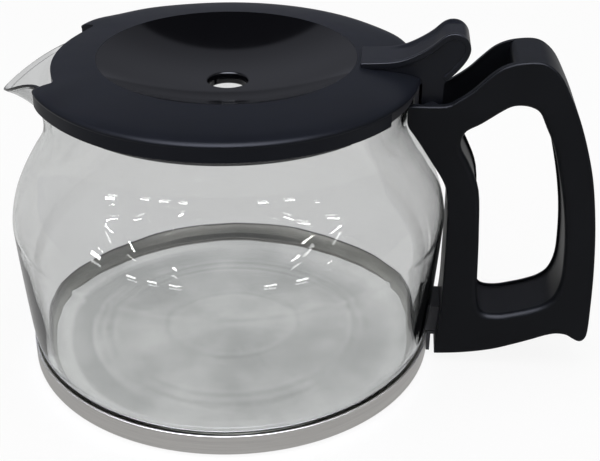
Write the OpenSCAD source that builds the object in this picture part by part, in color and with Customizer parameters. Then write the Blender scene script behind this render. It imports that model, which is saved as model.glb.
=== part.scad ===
// Glass coffee server carafe with a hinged lid and a hollow loop handle.
// Millimetres. The handle points to +X, the spout to -X, and the jug stands on z = 0.

/* [Jug] */
// Widest outer radius of the glass
jug_r = 74.4; // [66:0.1:84]
// Height of the glass rim above the table
jug_h = 103.8; // [92:0.1:120]
// How much the glass narrows from its widest place to the base band
foot_inset = 4; // [3:0.1:6]
// How much the glass narrows from its widest place to the waist under the rim
neck_inset = 14.5; // [12:0.1:18]
// Glass wall thickness
glass_t = 2.2; // [1.6:0.1:3]
// Thickness of the glass floor
floor_t = 3.2; // [2.4:0.1:5]
// Rise of the glass floor in its middle
floor_dome = 1.1; // [0.4:0.1:2]
// Flare of the rim bead beyond the waist
rim_flare = 1.4; // [0.8:0.1:2.4]

/* [Spout] */
// Reach of the spout tip beyond the rim
spout_reach = 15.2; // [8:0.1:20]
// Drop of the spout tip below the rim
spout_drop = 9.5; // [4:0.1:14]
// Half of the angle that the spout takes from the rim
spout_half_angle = 28.5; // [20:0.5:34]

/* [Base band] */
// Height of the steel band
band_h = 7.8; // [5:0.1:12]
// Sheet thickness of the steel band
band_t = 0.6; // [0.4:0.1:1]
// Height of the band's lower edge above the table
band_lift = 0.4; // [0.2:0.1:1]
// Thickness of the silicone ring between glass and band
seal_t = 0.65; // [0.4:0.05:1.2]

/* [Neck ring] */
// Height of the ring that grips the glass under the rim
ring_h = 3.4; // [2.4:0.1:5]
// Thickness of the ring beyond the rim bead
ring_t = 0.7; // [0.5:0.1:1.2]

/* [Lid] */
// Thickness of the skirt under the lid's edge
skirt_t = 1.3; // [1:0.1:2]
// Width of the satin ring round the dish
flange_w = 21.2; // [16:0.1:28]
// Depth of the dish
dish_depth = 9.4; // [6:0.1:11]
// Rise of the dish rim above the lid's edge
lid_crown = 2.8; // [1.5:0.1:5]
// Wall thickness of the lid mouldings
lid_t = 2; // [1.5:0.1:2.4]
// Thickness of the lid at its edge
lid_edge = 2.1; // [1.5:0.1:3]
// Radius of the drip hole
hole_r = 6.6; // [4:0.1:9]
// Length of the tube under the drip hole
tube_l = 2.4; // [2:0.1:6]
// Depth of the wall that centres the lid in the neck
plug_h = 8; // [5:0.1:9]
// Half of the angle of the notch over the spout
notch_half_angle = 28; // [24:0.5:36]
// Depth of the notch over the spout
notch_depth = 6.8; // [3:0.1:8]

/* [Thumb lever] */
// Half width of the lever at its tip
lever_half_w = 7.7; // [6.5:0.1:9]
// Half width of the lever at its root
lever_root_half_w = 7.9; // [5:0.1:8.5]
// Height of the lever's crest above the hinge
lever_rise = 26.6; // [22:0.1:30]
// Reach of the lever's tip behind the hinge
lever_reach = 11.2; // [8:0.1:12]
// Thickness of the curled top plate
lever_plate_t = 2; // [1.4:0.1:3]
// Width of the plate beyond the web on each side
lever_overhang = 0.7; // [0.4:0.1:2]
// Depth of the thumb recess
thumb_recess = 0.8; // [0.4:0.1:1.2]
// Width of the border round the thumb recess
thumb_border = 1.9; // [1.2:0.1:3]

/* [Hinge] */
// Radius of the hinge pin
pin_r = 2; // [1.5:0.1:2.4]
// Radial clearance of the pin in the knuckle
pin_clearance = 0.05; // [0.02:0.01:0.1]
// Distance of the hinge behind the waist of the glass
hinge_set = 7.3; // [6.5:0.1:9]
// Depth of the hinge below the rim
hinge_drop = 9.3; // [8:0.1:11]
// Outer radius of the knuckle
knuckle_r = 3.5; // [3:0.1:4]

/* [Handle] */
// Half width of the handle
handle_half_w = 11.8; // [10:0.1:14]
// Depth of the handle from its inner leg to its back
handle_depth = 51.7; // [44:0.1:60]
// Height of the crest above the front of the head
head_rise = 16.2; // [13:0.1:20]
// Thickness of the cheeks
cheek_t = 2.2; // [1.8:0.1:2.6]
// Thickness of the outer wall
back_t = 2.2; // [1.8:0.1:2.6]
// Thickness of the strip that lines the window
liner_t = 1.6; // [1.2:0.1:2]
// Step from the cheek edges down to the strip
liner_step = 0.8; // [0.4:0.1:1.2]
// Radius of the outer edges
edge_r = 1.6; // [0.8:0.1:2]
// Radius of the window's edges
window_edge_r = 2; // [1:0.1:2.1]

/* [Fasteners] */
// Radius of the screw shanks
screw_r = 2; // [1.5:0.1:2.2]
// Radius of the screw heads
screw_head_r = 3.5; // [3:0.1:3.8]
// Height of the screw heads
screw_head_h = 1.9; // [1.4:0.1:2.4]
// Width of the square nuts
nut_w = 7; // [6:0.1:7.4]
// Thickness of the square nuts
nut_t = 2.4; // [2:0.1:3]
// Sheet thickness of the two steel tongues
tongue_t = 1.2; // [0.8:0.1:1.6]
// Half width of the two steel tongues
tongue_half_w = 7; // [5:0.1:8]

/* [Hidden] */
$fn = 96;

// Common clearances
seat_gap = 0.1;
part_gap = 0.3;
slot_gap = 0.2;
overrun = 1;

// Smooth curves through a list of points
function curve_at(a, b, c, d, t) =
    0.5 * (2 * b + (c - a) * t + (2 * a - 5 * b + 4 * c - d) * t * t + (3 * b - a - 3 * c + d) * t * t * t);
function smooth_run(p, n) = concat(
    [for (i = [0:len(p) - 2], k = [0:n - 1])
        curve_at(p[max(i - 1, 0)], p[i], p[i + 1], p[min(i + 2, len(p) - 1)], k / n)],
    [p[len(p) - 1]]);
function smooth_loop(p, n) =
    [for (i = [0:len(p) - 1], k = [0:n - 1])
        curve_at(p[(i + len(p) - 1) % len(p)], p[i], p[(i + 1) % len(p)], p[(i + 2) % len(p)], k / n)];
function reversed(p) = [for (i = [len(p) - 1:-1:0]) p[i]];
function slice(p, a, b) = [for (i = [a:b]) p[i]];

// Side normal of a line, and an outline or an open line moved sideways by d
function side(a, b) = [b[1] - a[1], a[0] - b[0]] / norm(b - a);
function moved_point(a, b, c, d) = let (n = side(a, b), m = side(b, c)) b + d * (n + m) / (1 + n * m);
function moved_loop(p, d) =
    [for (i = [0:len(p) - 1]) moved_point(p[(i + len(p) - 1) % len(p)], p[i], p[(i + 1) % len(p)], d)];
function moved_run(p, d) =
    [for (i = [0:len(p) - 1])
        i == 0 ? p[0] + d * side(p[0], p[1])
        : i == len(p) - 1 ? p[i] + d * side(p[i - 1], p[i])
        : moved_point(p[i - 1], p[i], p[i + 1], d)];

// Radii that follow the widest radius of the glass
foot_r = jug_r - foot_inset;
neck_r = jug_r - neck_inset;
rim_r = neck_r + rim_flare;
ring_r = rim_r + ring_t;
skirt_in = ring_r + part_gap;
lid_r = skirt_in + skirt_t + slot_gap;
dish_r = lid_r - flange_w;

// Glass profile: the heel, the body and the shoulder, from the table up to the rim
heel_run = foot_r * 0.148;
heel_h = band_lift + band_h;
lower_shares = [[0.22, 0.115], [0.45, 0.193], [0.73, 0.337], [0.97, 0.482], [1, 0.534]];
upper_shares = [[0.9, 0.598], [0.73, 0.655], [0.5, 0.713], [0.28, 0.761], [0.11, 0.81],
                [0.025, 0.85], [0, 0.888]];
heel = [for (a = [0:15:75]) [foot_r - heel_run + heel_run * sin(a), heel_h - heel_h * cos(a)]];
body_points = concat(
    [[foot_r, heel_h]],
    [for (s = lower_shares) [foot_r + s[0] * (jug_r - foot_r), s[1] * jug_h]],
    [for (s = upper_shares) [neck_r + s[0] * (jug_r - neck_r), s[1] * jug_h]],
    [[neck_r + rim_flare * 0.12, jug_h * 0.935], [neck_r + rim_flare * 0.5, jug_h * 0.97],
     [rim_r, jug_h - glass_t / 2 - rim_flare * 0.37]]);
body_steps = 2;
glass_out = smooth_run(body_points, body_steps);
glass_in = moved_run(glass_out, -glass_t);
rim_mid = (glass_out[len(glass_out) - 1] + glass_in[len(glass_in) - 1]) / 2;
rim_arc = [for (a = [30:30:150]) rim_mid + glass_t / 2 * [cos(a), sin(a)]];
// The loft of the neck starts at the shoulder point with this number
loft_from = 9 * body_steps;
loft_z = glass_out[loft_from][1];
loft_out_inset = 0.05 * glass_t;
loft_in_inset = 0.1 * glass_t;
inner_heel = [for (a = [75:-15:0])
    [glass_in[0][0] - heel_run + heel_run * sin(a), heel_h - (heel_h - floor_t) * cos(a)]];

// The glass surface near a height, for what lies against it
function glass_r(z) = lookup(z, [for (p = concat(heel, glass_out)) [p[1], p[0]]]);

// The spout pulls the rim out and down over its angle: the higher the first power, the narrower
// the tip, and the higher the second, the later the wall leaves the waist
out_powers = [3.3, 2];
down_powers = [4.5, 1.3];
function pull(a, power) = abs(a) < spout_half_angle ? pow(cos(90 * a / spout_half_angle), power) : 0;
function lift(z, power) = pow(max(0, min(1, (z - loft_z) / (jug_h - loft_z))), power);
function spouted(p, a) =
    [p[0] + spout_reach * pull(a, out_powers[0]) * lift(p[1], out_powers[1]),
     p[1] - spout_drop * pull(a, down_powers[0]) * lift(p[1], down_powers[1])];

// Ring, lid and hinge places
ring_top = jug_h - glass_t * 0.2;
lid_z = jug_h + part_gap;
skirt_z = ring_top - ring_h - slot_gap;
edge_z = lid_z + lid_edge;
dish_z = edge_z + lid_crown;
dish_floor_z = dish_z - dish_depth;
dish_sphere_r = (dish_r * dish_r + dish_depth * dish_depth) / (2 * dish_depth);
hinge_x = neck_r + hinge_set;
hinge_z = jug_h - hinge_drop;
web_back = hinge_x + knuckle_r;
web_front = hinge_x - knuckle_r + slot_gap;
hinge_side_angle = 31.5;
plug_side_angle = 42;
plug_r = neck_r - glass_t - part_gap * 2;
cheek_in = handle_half_w - cheek_t;
knuckle_half_w = cheek_in - part_gap;

// Handle outline: u runs from the waist (-1) over the inner leg (0) to the back (1),
// v runs from the table (0) over the front of the head (1) to the crest (2)
leg_x = jug_r + 0.01 * jug_r;
head_x = neck_r + 0.01 * jug_r;
head_z = hinge_z + knuckle_r;
function hx(u) = u < 0 ? leg_x + u * (leg_x - head_x) : leg_x + u * handle_depth;
function hz(v) = v < 1 ? v * head_z : head_z + (v - 1) * head_rise;
function on_handle(shares) = [for (s = shares) [hx(s[0]), hz(s[1])]];
back_shares = [[-1.08, 1], [-0.28, 1.02], [0, 1.14], [0.085, 1.35], [0.158, 1.59], [0.232, 1.81],
               [0.312, 1.94], [0.406, 2], [0.488, 2], [0.553, 1.91], [0.619, 1.7], [0.685, 1.33],
               [0.757, 0.975], [0.83, 0.87], [0.896, 0.745], [0.949, 0.58], [0.982, 0.41],
               [0.998, 0.245], [1, 0.15], [0.978, 0.12], [0.945, 0.115], [0.905, 0.125],
               [0.858, 0.139], [0.792, 0.142], [0.722, 0.132], [0.625, 0.11], [0.507, 0.085],
               [0.38, 0.061], [0.24, 0.044], [0.11, 0.034], [-0.07, 0.028]];
front_shares = [[-0.07, 0.028], [-0.06, 0.1], [0.002, 0.22], [0.002, 0.36], [0, 0.5], [-0.02, 0.61],
                [-0.079, 0.69], [-0.21, 0.74], [-0.45, 0.795], [-0.69, 0.85], [-0.87, 0.889],
                [-1.03, 0.922], [-1.075, 0.95], [-1.08, 1]];
window_shares = [[0.211, 0.54], [0.224, 0.42], [0.234, 0.31], [0.252, 0.243], [0.297, 0.21],
                 [0.396, 0.206], [0.505, 0.22], [0.594, 0.235], [0.683, 0.257], [0.745, 0.292],
                 [0.778, 0.357], [0.777, 0.45], [0.759, 0.56], [0.723, 0.67], [0.675, 0.775],
                 [0.622, 0.87], [0.563, 0.937], [0.515, 0.987], [0.46, 1.035], [0.396, 1.066],
                 [0.337, 1.035], [0.273, 0.985], [0.164, 0.942], [0.074, 0.912], [0.047, 0.876],
                 [0.059, 0.842], [0.113, 0.791], [0.184, 0.695]];
handle_steps = 2;
back_run = smooth_run(on_handle(back_shares), handle_steps);
front_run = smooth_run(on_handle(front_shares), handle_steps);
handle_outline = reversed(concat(slice(back_run, 0, len(back_run) - 2),
                                 slice(front_run, 0, len(front_run) - 2)));
window_outline = smooth_loop(on_handle(window_shares), handle_steps);
cavity_outline = reversed(on_handle(concat(slice(back_shares, 0, len(back_shares) - 2),
                                           slice(front_shares, 0, len(front_shares) - 2))));

// Places inside the handle
head_floor_z = hinge_z - knuckle_r - part_gap * 4;
neck_tongue_z = head_floor_z - tongue_t - screw_head_h;
neck_tongue_end = hinge_x + knuckle_r + nut_w / 2 + part_gap;
head_screw_x = hinge_x + knuckle_r;
block_low_z = neck_tongue_z - nut_t * 3;
channel_end = hx(0.37);
channel_lip = hx(0.325);
channel_end_z = hz(1.68);
bulkhead_t = 1.8;
foot_tongue_z = heel_h - slot_gap;
foot_tongue_end = hx(0.27);
foot_screw_x = hx(0.11);
foot_sole_z = hz(0.036);
foot_block_z = foot_tongue_z + tongue_t + nut_t * 1.8;
foot_block_x = hx(0.3);
cushion_low = foot_tongue_z + tongue_t + part_gap;
cushion_high = hz(0.2);

// Lever outline, from the root on the lid over the crest to the hinge
function lever_x(u) = u < 0 ? hinge_x + u * (hinge_x - dish_r) : hinge_x + u * lever_reach;
function lever_z(v) = dish_z + v * (hinge_z + lever_rise - dish_z);
lever_top_shares = [[-0.95, 0.11], [-0.75, 0.13], [-0.54, 0.17], [-0.37, 0.26], [-0.2, 0.43],
                    [-0.03, 0.66], [0.24, 0.915], [0.48, 1], [0.72, 0.965], [0.91, 0.82], [1, 0.6],
                    [0.95, 0.37], [0.8, 0.13], [0.58, -0.12], [0.38, -0.3]];
lever_steps = 3;
recess_start = lever_steps;
recess_end = lever_steps * 8;
curl_end = lever_steps * (len(lever_top_shares) - 1);
lever_run = concat(smooth_run([for (s = lever_top_shares) [lever_x(s[0]), lever_z(s[1])]], lever_steps),
                   [[web_back, lid_z - part_gap], [web_back, hinge_z]]);
lever_outline = concat(lever_run,
                       [[web_front, hinge_z], [web_front, lid_z - part_gap],
                        [hinge_x - knuckle_r * 1.2, lid_z], [lever_x(-0.95), lid_z]]);

// Spout direction and a pie-shaped prism over a range of angles
module pie(from, to, low, high) {
    reach = lid_r * 1.5;
    steps = max(2, ceil((to - from) / 15));
    translate([0, 0, low])
        linear_extrude(high - low)
            polygon(concat([[0, 0]], [for (k = [0:steps]) let (a = from + (to - from) * k / steps)
                reach * [cos(a), sin(a)]]));
}

// A prism of an outline in the handle's plane, centred on the plane
module in_plane(half_w) {
    rotate([90, 0, 0])
        translate([0, 0, -half_w])
            linear_extrude(half_w * 2)
                children();
}

// A plate of an outline in the handle's plane whose edges are rounded: r > 0 rounds its
// outer edges, and r < 0 flares it, for cutting a window with rounded edges
module rounded_plate(outline, half_w, r, extra = 0) {
    steps = 2;
    n = len(outline);
    quarter = [for (k = [0:steps]) let (a = 90 * k / steps)
        [half_w - abs(r) + abs(r) * sin(a), r * (1 - cos(a))]];
    half = concat(quarter, extra > 0 ? [[half_w + extra, r]] : []);
    levels = concat([for (q = reversed(half)) [-q[0], q[1]]], half);
    rings = [for (l = levels) let (ring = moved_loop(outline, -l[1])) [for (p = ring) [p[0], l[0], p[1]]]];
    points = [for (ring = rings) each ring];
    last = len(levels) - 1;
    faces = concat(
        [[for (i = [n - 1:-1:0]) i]],
        [[for (i = [0:n - 1]) last * n + i]],
        [for (l = [0:last - 1], i = [0:n - 1]) [l * n + i, l * n + (i + 1) % n, (l + 1) * n + i]],
        [for (l = [0:last - 1], i = [0:n - 1])
            [l * n + (i + 1) % n, (l + 1) * n + (i + 1) % n, (l + 1) * n + i]]);
    polyhedron(points, faces, convexity = 8);
}

module glass_neck() {
    out_part = slice(glass_out, loft_from + 1, len(glass_out) - 1);
    in_part = reversed(slice(glass_in, loft_from + 1, len(glass_in) - 1));
    root_out = [for (k = [loft_from - 1, loft_from]) glass_out[k] + loft_out_inset * [-1, 0]];
    root_in = [for (k = [loft_from, loft_from - 1]) glass_in[k] + loft_in_inset * [1, 0]];
    loop = concat(root_out, out_part, rim_arc, in_part, root_in);
    angles = concat([for (a = [-30:3:30]) a], [for (a = [36:6:324]) a]);
    m = len(loop);
    n = len(angles);
    points = [for (a = angles) each
        [for (p = loop) let (q = spouted(p, a)) [-q[0] * cos(a), -q[0] * sin(a), q[1]]]];
    faces = [for (j = [0:n - 1], i = [0:m - 1], half = [0, 1])
        let (i2 = (i + 1) % m, here = j * m, next = (j + 1) % n * m)
        half == 0 ? [here + i, here + i2, next + i] : [here + i2, next + i2, next + i]];
    polyhedron(points, faces, convexity = 8);
}

module glass_jug() {
    color([0.8, 0.84, 0.84, 0.4]) {
        rotate_extrude()
            polygon(concat([[0, 0]], heel, slice(glass_out, 0, loft_from),
                reversed(slice(glass_in, 0, loft_from)), inner_heel, [[0, floor_t + floor_dome]]));
        glass_neck();
    }
}

module base_band() {
    inner = foot_r + seal_t;
    outer = inner + band_t;
    lip = band_t * 5;
    color([0.74, 0.72, 0.7])
        rotate_extrude()
            polygon([[outer, band_lift + band_t], [outer, heel_h - band_t / 4],
                [outer - band_t / 4, heel_h], [inner, heel_h], [inner, band_lift + band_t],
                [inner - lip, band_lift + band_t], [inner - lip, band_lift], [outer - band_t, band_lift]]);
}

module base_seal() {
    outer = foot_r + seal_t - seat_gap / 2;
    low = band_lift + band_t + seat_gap / 2;
    seal_heel = [for (p = heel) if (p[1] > low + band_t) p + seat_gap * [1, -0.5]];
    color([0.2, 0.2, 0.2])
        rotate_extrude()
            polygon(concat([[outer - band_t * 4, low], [outer, low], [outer, heel_h - band_t]],
                reversed(seal_heel)));
}

module tongue(reach, end, low, hole_x) {
    difference() {
        translate([reach, -tongue_half_w, low])
            cube([end - reach, tongue_half_w * 2, tongue_t]);
        translate([hole_x, 0, low - overrun])
            cylinder(r = screw_r + slot_gap, h = tongue_t + overrun * 2);
    }
}

module bent_plate(inner, low, high) {
    intersection() {
        translate([0, 0, low])
            difference() {
                cylinder(r = inner + tongue_t, h = high - low);
                translate([0, 0, -overrun])
                    cylinder(r = inner, h = high - low + overrun * 2);
            }
        translate([0, -tongue_half_w, low])
            cube([inner * 2, tongue_half_w * 2, high - low]);
    }
}

module foot_bracket() {
    inner = foot_r + seal_t + band_t + seat_gap / 2;
    color([0.1, 0.1, 0.1]) {
        bent_plate(inner, band_lift + band_t, foot_tongue_z + tongue_t);
        tongue(inner + tongue_t / 2, foot_tongue_end, foot_tongue_z, foot_screw_x);
    }
}

module neck_ring() {
    low = ring_top - ring_h;
    inner = [for (p = glass_out) if (p[1] > low && p[1] < ring_top) [p[0] + seat_gap, p[1]]];
    color([0.09, 0.09, 0.1])
        difference() {
            rotate_extrude()
                polygon(concat([[ring_r, ring_top], [glass_r(ring_top) + seat_gap, ring_top]],
                    reversed(inner), [[glass_r(low) + seat_gap, low], [ring_r, low]]));
            pie(180 - notch_half_angle - 1, 180 + notch_half_angle + 1, low - overrun, ring_top + overrun);
        }
}

module neck_bracket() {
    inner = ring_r + seat_gap / 2;
    color([0.1, 0.1, 0.1]) {
        bent_plate(inner, neck_tongue_z, ring_top);
        tongue(inner + tongue_t / 2, neck_tongue_end, neck_tongue_z, head_screw_x);
    }
}

module handle_shell() {
    cavity = moved_loop(cavity_outline, -back_t);
    liner_room = moved_loop(window_outline, liner_step + liner_t + seat_gap);
    color([0.06, 0.065, 0.075])
        difference() {
            rounded_plate(handle_outline, handle_half_w, edge_r);
            rounded_plate(window_outline, handle_half_w, -window_edge_r, overrun);
            in_plane(cheek_in) {
                difference() {
                    polygon(cavity);
                    translate([head_x, block_low_z])
                        square([leg_x - head_x, head_floor_z - block_low_z]);
                    translate([head_x, 0])
                        square([foot_block_x - head_x, foot_block_z]);
                    translate([channel_end, head_z])
                        square([bulkhead_t, head_rise * 2]);
                    translate([hx(0.86), 0])
                        square([handle_depth, hz(0.2)]);
                }
                polygon(liner_room);
                polygon([[head_x - overrun * 4, head_floor_z], [leg_x, head_floor_z], [channel_end, hz(1)],
                    [channel_end, channel_end_z], [channel_lip, hz(1.85)], [channel_lip, hz(3)],
                    [head_x - overrun * 4, hz(3)]]);
            }
            shell_tongue_slots();
            shell_screw_holes();
            translate([0, 0, block_low_z])
                cylinder(r = head_x, h = head_z);
        }
}

module shell_tongue_slots() {
    slot_half_w = tongue_half_w + slot_gap;
    plate_back = ring_r + tongue_t + part_gap;
    translate([head_x - overrun * 4, -slot_half_w, neck_tongue_z - seat_gap])
        cube([plate_back - head_x + overrun * 4, slot_half_w * 2, head_floor_z + overrun - neck_tongue_z]);
    translate([head_x - overrun * 4, -slot_half_w, neck_tongue_z - seat_gap])
        cube([neck_tongue_end + slot_gap - head_x + overrun * 4, slot_half_w * 2, tongue_t + seat_gap * 2]);
    translate([foot_r, -slot_half_w, foot_tongue_z - seat_gap])
        cube([foot_tongue_end + slot_gap - foot_r, slot_half_w * 2, tongue_t + seat_gap * 2]);
    nut_room = nut_w + slot_gap * 2;
    translate([head_screw_x - nut_room / 2, -nut_room / 2, neck_tongue_z - nut_t - seat_gap])
        cube([nut_room, nut_room, nut_t + seat_gap * 2]);
    translate([foot_screw_x - nut_room / 2, -nut_room / 2, foot_tongue_z + tongue_t])
        cube([nut_room, nut_room, nut_t + seat_gap]);
}

module shell_screw_holes() {
    translate([head_screw_x, 0, block_low_z + band_t])
        cylinder(r = screw_r + slot_gap, h = head_floor_z - block_low_z);
    translate([head_screw_x, 0, neck_tongue_z + tongue_t + seat_gap])
        cylinder(r = screw_head_r + slot_gap, h = screw_head_h * 2);
    translate([foot_screw_x, 0, 0])
        cylinder(r = screw_r + slot_gap, h = foot_block_z - band_t);
    translate([foot_screw_x, 0, 0])
        cylinder(r = screw_head_r + slot_gap, h = foot_sole_z + screw_head_h);
    translate([hinge_x, 0, hinge_z])
        rotate([90, 0, 0])
            cylinder(r = pin_r + seat_gap / 5, h = (cheek_in + cheek_t * 0.64) * 2, center = true);
}

module handle_liner() {
    color([0.1, 0.1, 0.11])
        in_plane(cheek_in - seat_gap)
            difference() {
                polygon(moved_loop(window_outline, liner_step + liner_t));
                polygon(moved_loop(window_outline, liner_step));
            }
}

module foot_cushion() {
    cushion_mid = (cushion_low + cushion_high) / 2;
    against_glass = [for (z = [cushion_low, cushion_mid, cushion_high]) [glass_r(z) + seat_gap * 1.5, z]];
    color([0.05, 0.05, 0.05])
        difference() {
            intersection() {
                rotate_extrude()
                    polygon(concat(against_glass,
                        [[leg_x + overrun, cushion_high], [leg_x + overrun, cushion_low]]));
                translate([0, -tongue_half_w, 0])
                    cube([jug_r * 2, tongue_half_w * 2, jug_h]);
            }
            in_plane(handle_half_w)
                polygon(moved_loop(handle_outline, seat_gap / 2));
        }
}

module screw(length, up) {
    mirror([0, 0, up ? 1 : 0]) {
        difference() {
            cylinder(r = screw_head_r, h = screw_head_h);
            translate([0, 0, screw_head_h / 2])
                for (a = [0, 90])
                    rotate([0, 0, a])
                        translate([-screw_head_r * 0.6, -screw_r * 0.25, 0])
                            cube([screw_head_r * 1.2, screw_r * 0.5, screw_head_h]);
        }
        translate([0, 0, -length])
            cylinder(r = screw_r, h = length);
    }
}

module head_screw() {
    seat = neck_tongue_z + tongue_t + seat_gap;
    color([0.72, 0.72, 0.72])
        translate([head_screw_x, 0, seat])
            screw(tongue_t + seat_gap + nut_t * 1.8, false);
}

module foot_screw() {
    seat = foot_sole_z + screw_head_h;
    color([0.72, 0.72, 0.72])
        translate([foot_screw_x, 0, seat])
            screw(foot_tongue_z - seat + tongue_t + nut_t * 1.4, true);
}

module square_nut(low) {
    difference() {
        translate([-nut_w / 2, -nut_w / 2, low])
            cube([nut_w, nut_w, nut_t]);
        translate([0, 0, low - overrun])
            cylinder(r = screw_r + seat_gap / 4, h = nut_t + overrun * 2);
    }
}

module head_nut() {
    color([0.7, 0.7, 0.7])
        translate([head_screw_x, 0, 0])
            square_nut(neck_tongue_z - nut_t);
}

module foot_nut() {
    color([0.7, 0.7, 0.7])
        translate([foot_screw_x, 0, 0])
            square_nut(foot_tongue_z + tongue_t);
}

module hinge_pin() {
    color([0.75, 0.75, 0.76])
        translate([hinge_x, 0, hinge_z])
            rotate([90, 0, 0])
                cylinder(r = pin_r, h = (cheek_in + cheek_t * 0.6) * 2, center = true);
}

// Top of the satin ring from the dish rim out to the edge, and its envelope
ring_top_run = smooth_run([[dish_r, dish_z], [dish_r + (lid_r - dish_r) * 0.4, edge_z + lid_crown * 0.66],
    [dish_r + (lid_r - dish_r) * 0.75, edge_z + lid_crown * 0.28], [lid_r - lid_edge * 0.9, edge_z],
    [lid_r - lid_edge * 0.25, edge_z - lid_edge * 0.3], [lid_r, edge_z - lid_edge * 0.65],
    [lid_r - lid_edge * 0.1, lid_z]], 2);

module lid_ring() {
    under_r = dish_r + (lid_r - dish_r) * 0.62;
    plug_in = plug_r - lid_t * 0.8;
    color([0.11, 0.115, 0.14])
        difference() {
            union() {
                rotate_extrude()
                    polygon(concat(ring_top_run, [[under_r, lid_z], [dish_r, dish_z - lid_t]]));
                difference() {
                    rotate_extrude()
                        polygon([[skirt_in, lid_z + lid_t / 2], [skirt_in, skirt_z],
                            [lid_r - slot_gap, skirt_z], [lid_r - slot_gap, lid_z + lid_t / 2]]);
                    pie(-hinge_side_angle, hinge_side_angle, skirt_z - overrun, lid_z);
                }
                difference() {
                    rotate_extrude()
                        polygon([[plug_in, lid_z + lid_t / 2], [plug_in, lid_z - plug_h],
                            [plug_r - lid_t * 0.3, lid_z - plug_h], [plug_r, lid_z + lid_t / 2]]);
                    pie(-plug_side_angle, plug_side_angle, lid_z - plug_h - overrun, lid_z);
                    pie(180 - notch_half_angle, 180 + notch_half_angle, lid_z - plug_h - overrun, lid_z);
                }
            }
            difference() {
                pie(180 - notch_half_angle, 180 + notch_half_angle, skirt_z - overrun, dish_z);
                translate([0, 0, skirt_z - overrun * 2])
                    cylinder(r = lid_r - notch_depth, h = dish_z);
            }
        }
}

module lid_dish() {
    lap_r = dish_r + lid_t * 1.6;
    bowl_r = dish_r - seat_gap / 2;
    bowl_in = hole_r + lid_t * 0.4;
    bowl = [for (k = [0:8]) let (r = bowl_in + (bowl_r - bowl_in) * k / 8)
        [r, dish_floor_z + dish_sphere_r - sqrt(dish_sphere_r * dish_sphere_r - r * r)]];
    bowl_under = moved_run(bowl, lid_t);
    tube_low = dish_floor_z - lid_t / 2 - tube_l;
    color([0.03, 0.03, 0.035])
        rotate_extrude()
            polygon(concat([[hole_r - lid_t * 0.2, tube_low], [hole_r, dish_floor_z - lid_t * 0.2]], bowl,
                [[bowl_r, dish_z - lid_t - seat_gap], [lap_r, dish_z - lid_t - seat_gap * 9],
                 [lap_r, dish_z - lid_t * 2]],
                reversed(slice(bowl_under, 1, 7)), [[hole_r + lid_t * 0.7, dish_floor_z - lid_t],
                 [hole_r + lid_t * 0.6, tube_low]]));
}

module lever_plan(extra) {
    root = lever_root_half_w + extra;
    tip = lever_half_w + extra;
    tip_x = hinge_x + lever_reach;
    linear_extrude(dish_z + lever_rise * 2)
        polygon([[dish_r, root], [tip_x, tip], [tip_x * 2, tip], [tip_x * 2, -tip], [tip_x, -tip],
            [dish_r, -root]]);
}

// The skin of the lever's top from one point of its run to another
module lever_skin(from, to, skin) {
    run = slice(lever_run, from, to);
    in_plane(lever_half_w)
        polygon(concat(run, reversed(moved_run(run, skin))));
}

module thumb_lever() {
    color([0.1, 0.105, 0.125])
        difference() {
            union() {
                intersection() {
                    in_plane(lever_half_w)
                        polygon(lever_outline);
                    lever_plan(-lever_overhang);
                }
                intersection() {
                    lever_skin(0, curl_end, lever_plate_t);
                    lever_plan(0);
                }
                translate([hinge_x, 0, hinge_z])
                    rotate([90, 0, 0])
                        cylinder(r = knuckle_r, h = knuckle_half_w * 2, center = true);
            }
            lever_lid_room();
            translate([hinge_x, 0, hinge_z])
                rotate([90, 0, 0])
                    cylinder(r = pin_r + pin_clearance, h = handle_half_w * 2, center = true);
            intersection() {
                lever_skin(recess_start, recess_end, thumb_recess);
                lever_plan(-thumb_border);
            }
        }
}

// The space of the ring under the lever, with a seat gap
module lever_lid_room() {
    grown = moved_run(ring_top_run, -seat_gap);
    rotate_extrude()
        polygon(concat([[dish_r - lid_t, dish_z + seat_gap]], grown,
            [[lid_r + seat_gap, lid_z - seat_gap], [dish_r - lid_t, lid_z - seat_gap]]));
}

glass_jug();
base_band();
base_seal();
foot_bracket();
neck_ring();
neck_bracket();
handle_shell();
handle_liner();
foot_cushion();
head_screw();
head_nut();
foot_screw();
foot_nut();
hinge_pin();
lid_ring();
lid_dish();
thumb_lever();
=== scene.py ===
"""Looks of a glass coffee jug with a hinged lid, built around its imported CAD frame.

The jug stands on z = 0. The handle points to +X and the spout to -X. Shape tables hold shares
of the named sizes, and sizes are in metres.
"""

import math

import bpy
from mathutils import Matrix, Vector


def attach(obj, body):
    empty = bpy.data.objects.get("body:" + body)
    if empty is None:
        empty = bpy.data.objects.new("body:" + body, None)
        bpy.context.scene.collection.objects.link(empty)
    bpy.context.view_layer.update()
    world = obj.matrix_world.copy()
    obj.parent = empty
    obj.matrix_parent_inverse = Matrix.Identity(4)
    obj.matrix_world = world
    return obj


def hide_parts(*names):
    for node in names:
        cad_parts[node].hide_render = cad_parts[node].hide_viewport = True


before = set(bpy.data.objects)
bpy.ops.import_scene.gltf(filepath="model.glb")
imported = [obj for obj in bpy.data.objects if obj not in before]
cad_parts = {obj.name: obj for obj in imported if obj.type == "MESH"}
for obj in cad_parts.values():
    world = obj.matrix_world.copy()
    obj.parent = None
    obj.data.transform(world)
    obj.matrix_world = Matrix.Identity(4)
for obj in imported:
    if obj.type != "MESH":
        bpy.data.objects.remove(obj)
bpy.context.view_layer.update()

bl_info = {
    "name": "Coffee Jug Builder",
    "version": (1, 0, 0),
    "blender": (4, 5, 0),
    "location": "View3D > Sidebar > Coffee Jug",
    "description": "Builds and dresses a glass coffee jug with a hinged lid",
    "category": "Object",
}

MM = 0.001
JUG = "jug"
LID = "lid"
ROUND_STEPS = 160
GLASS_STEPS = 192

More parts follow.
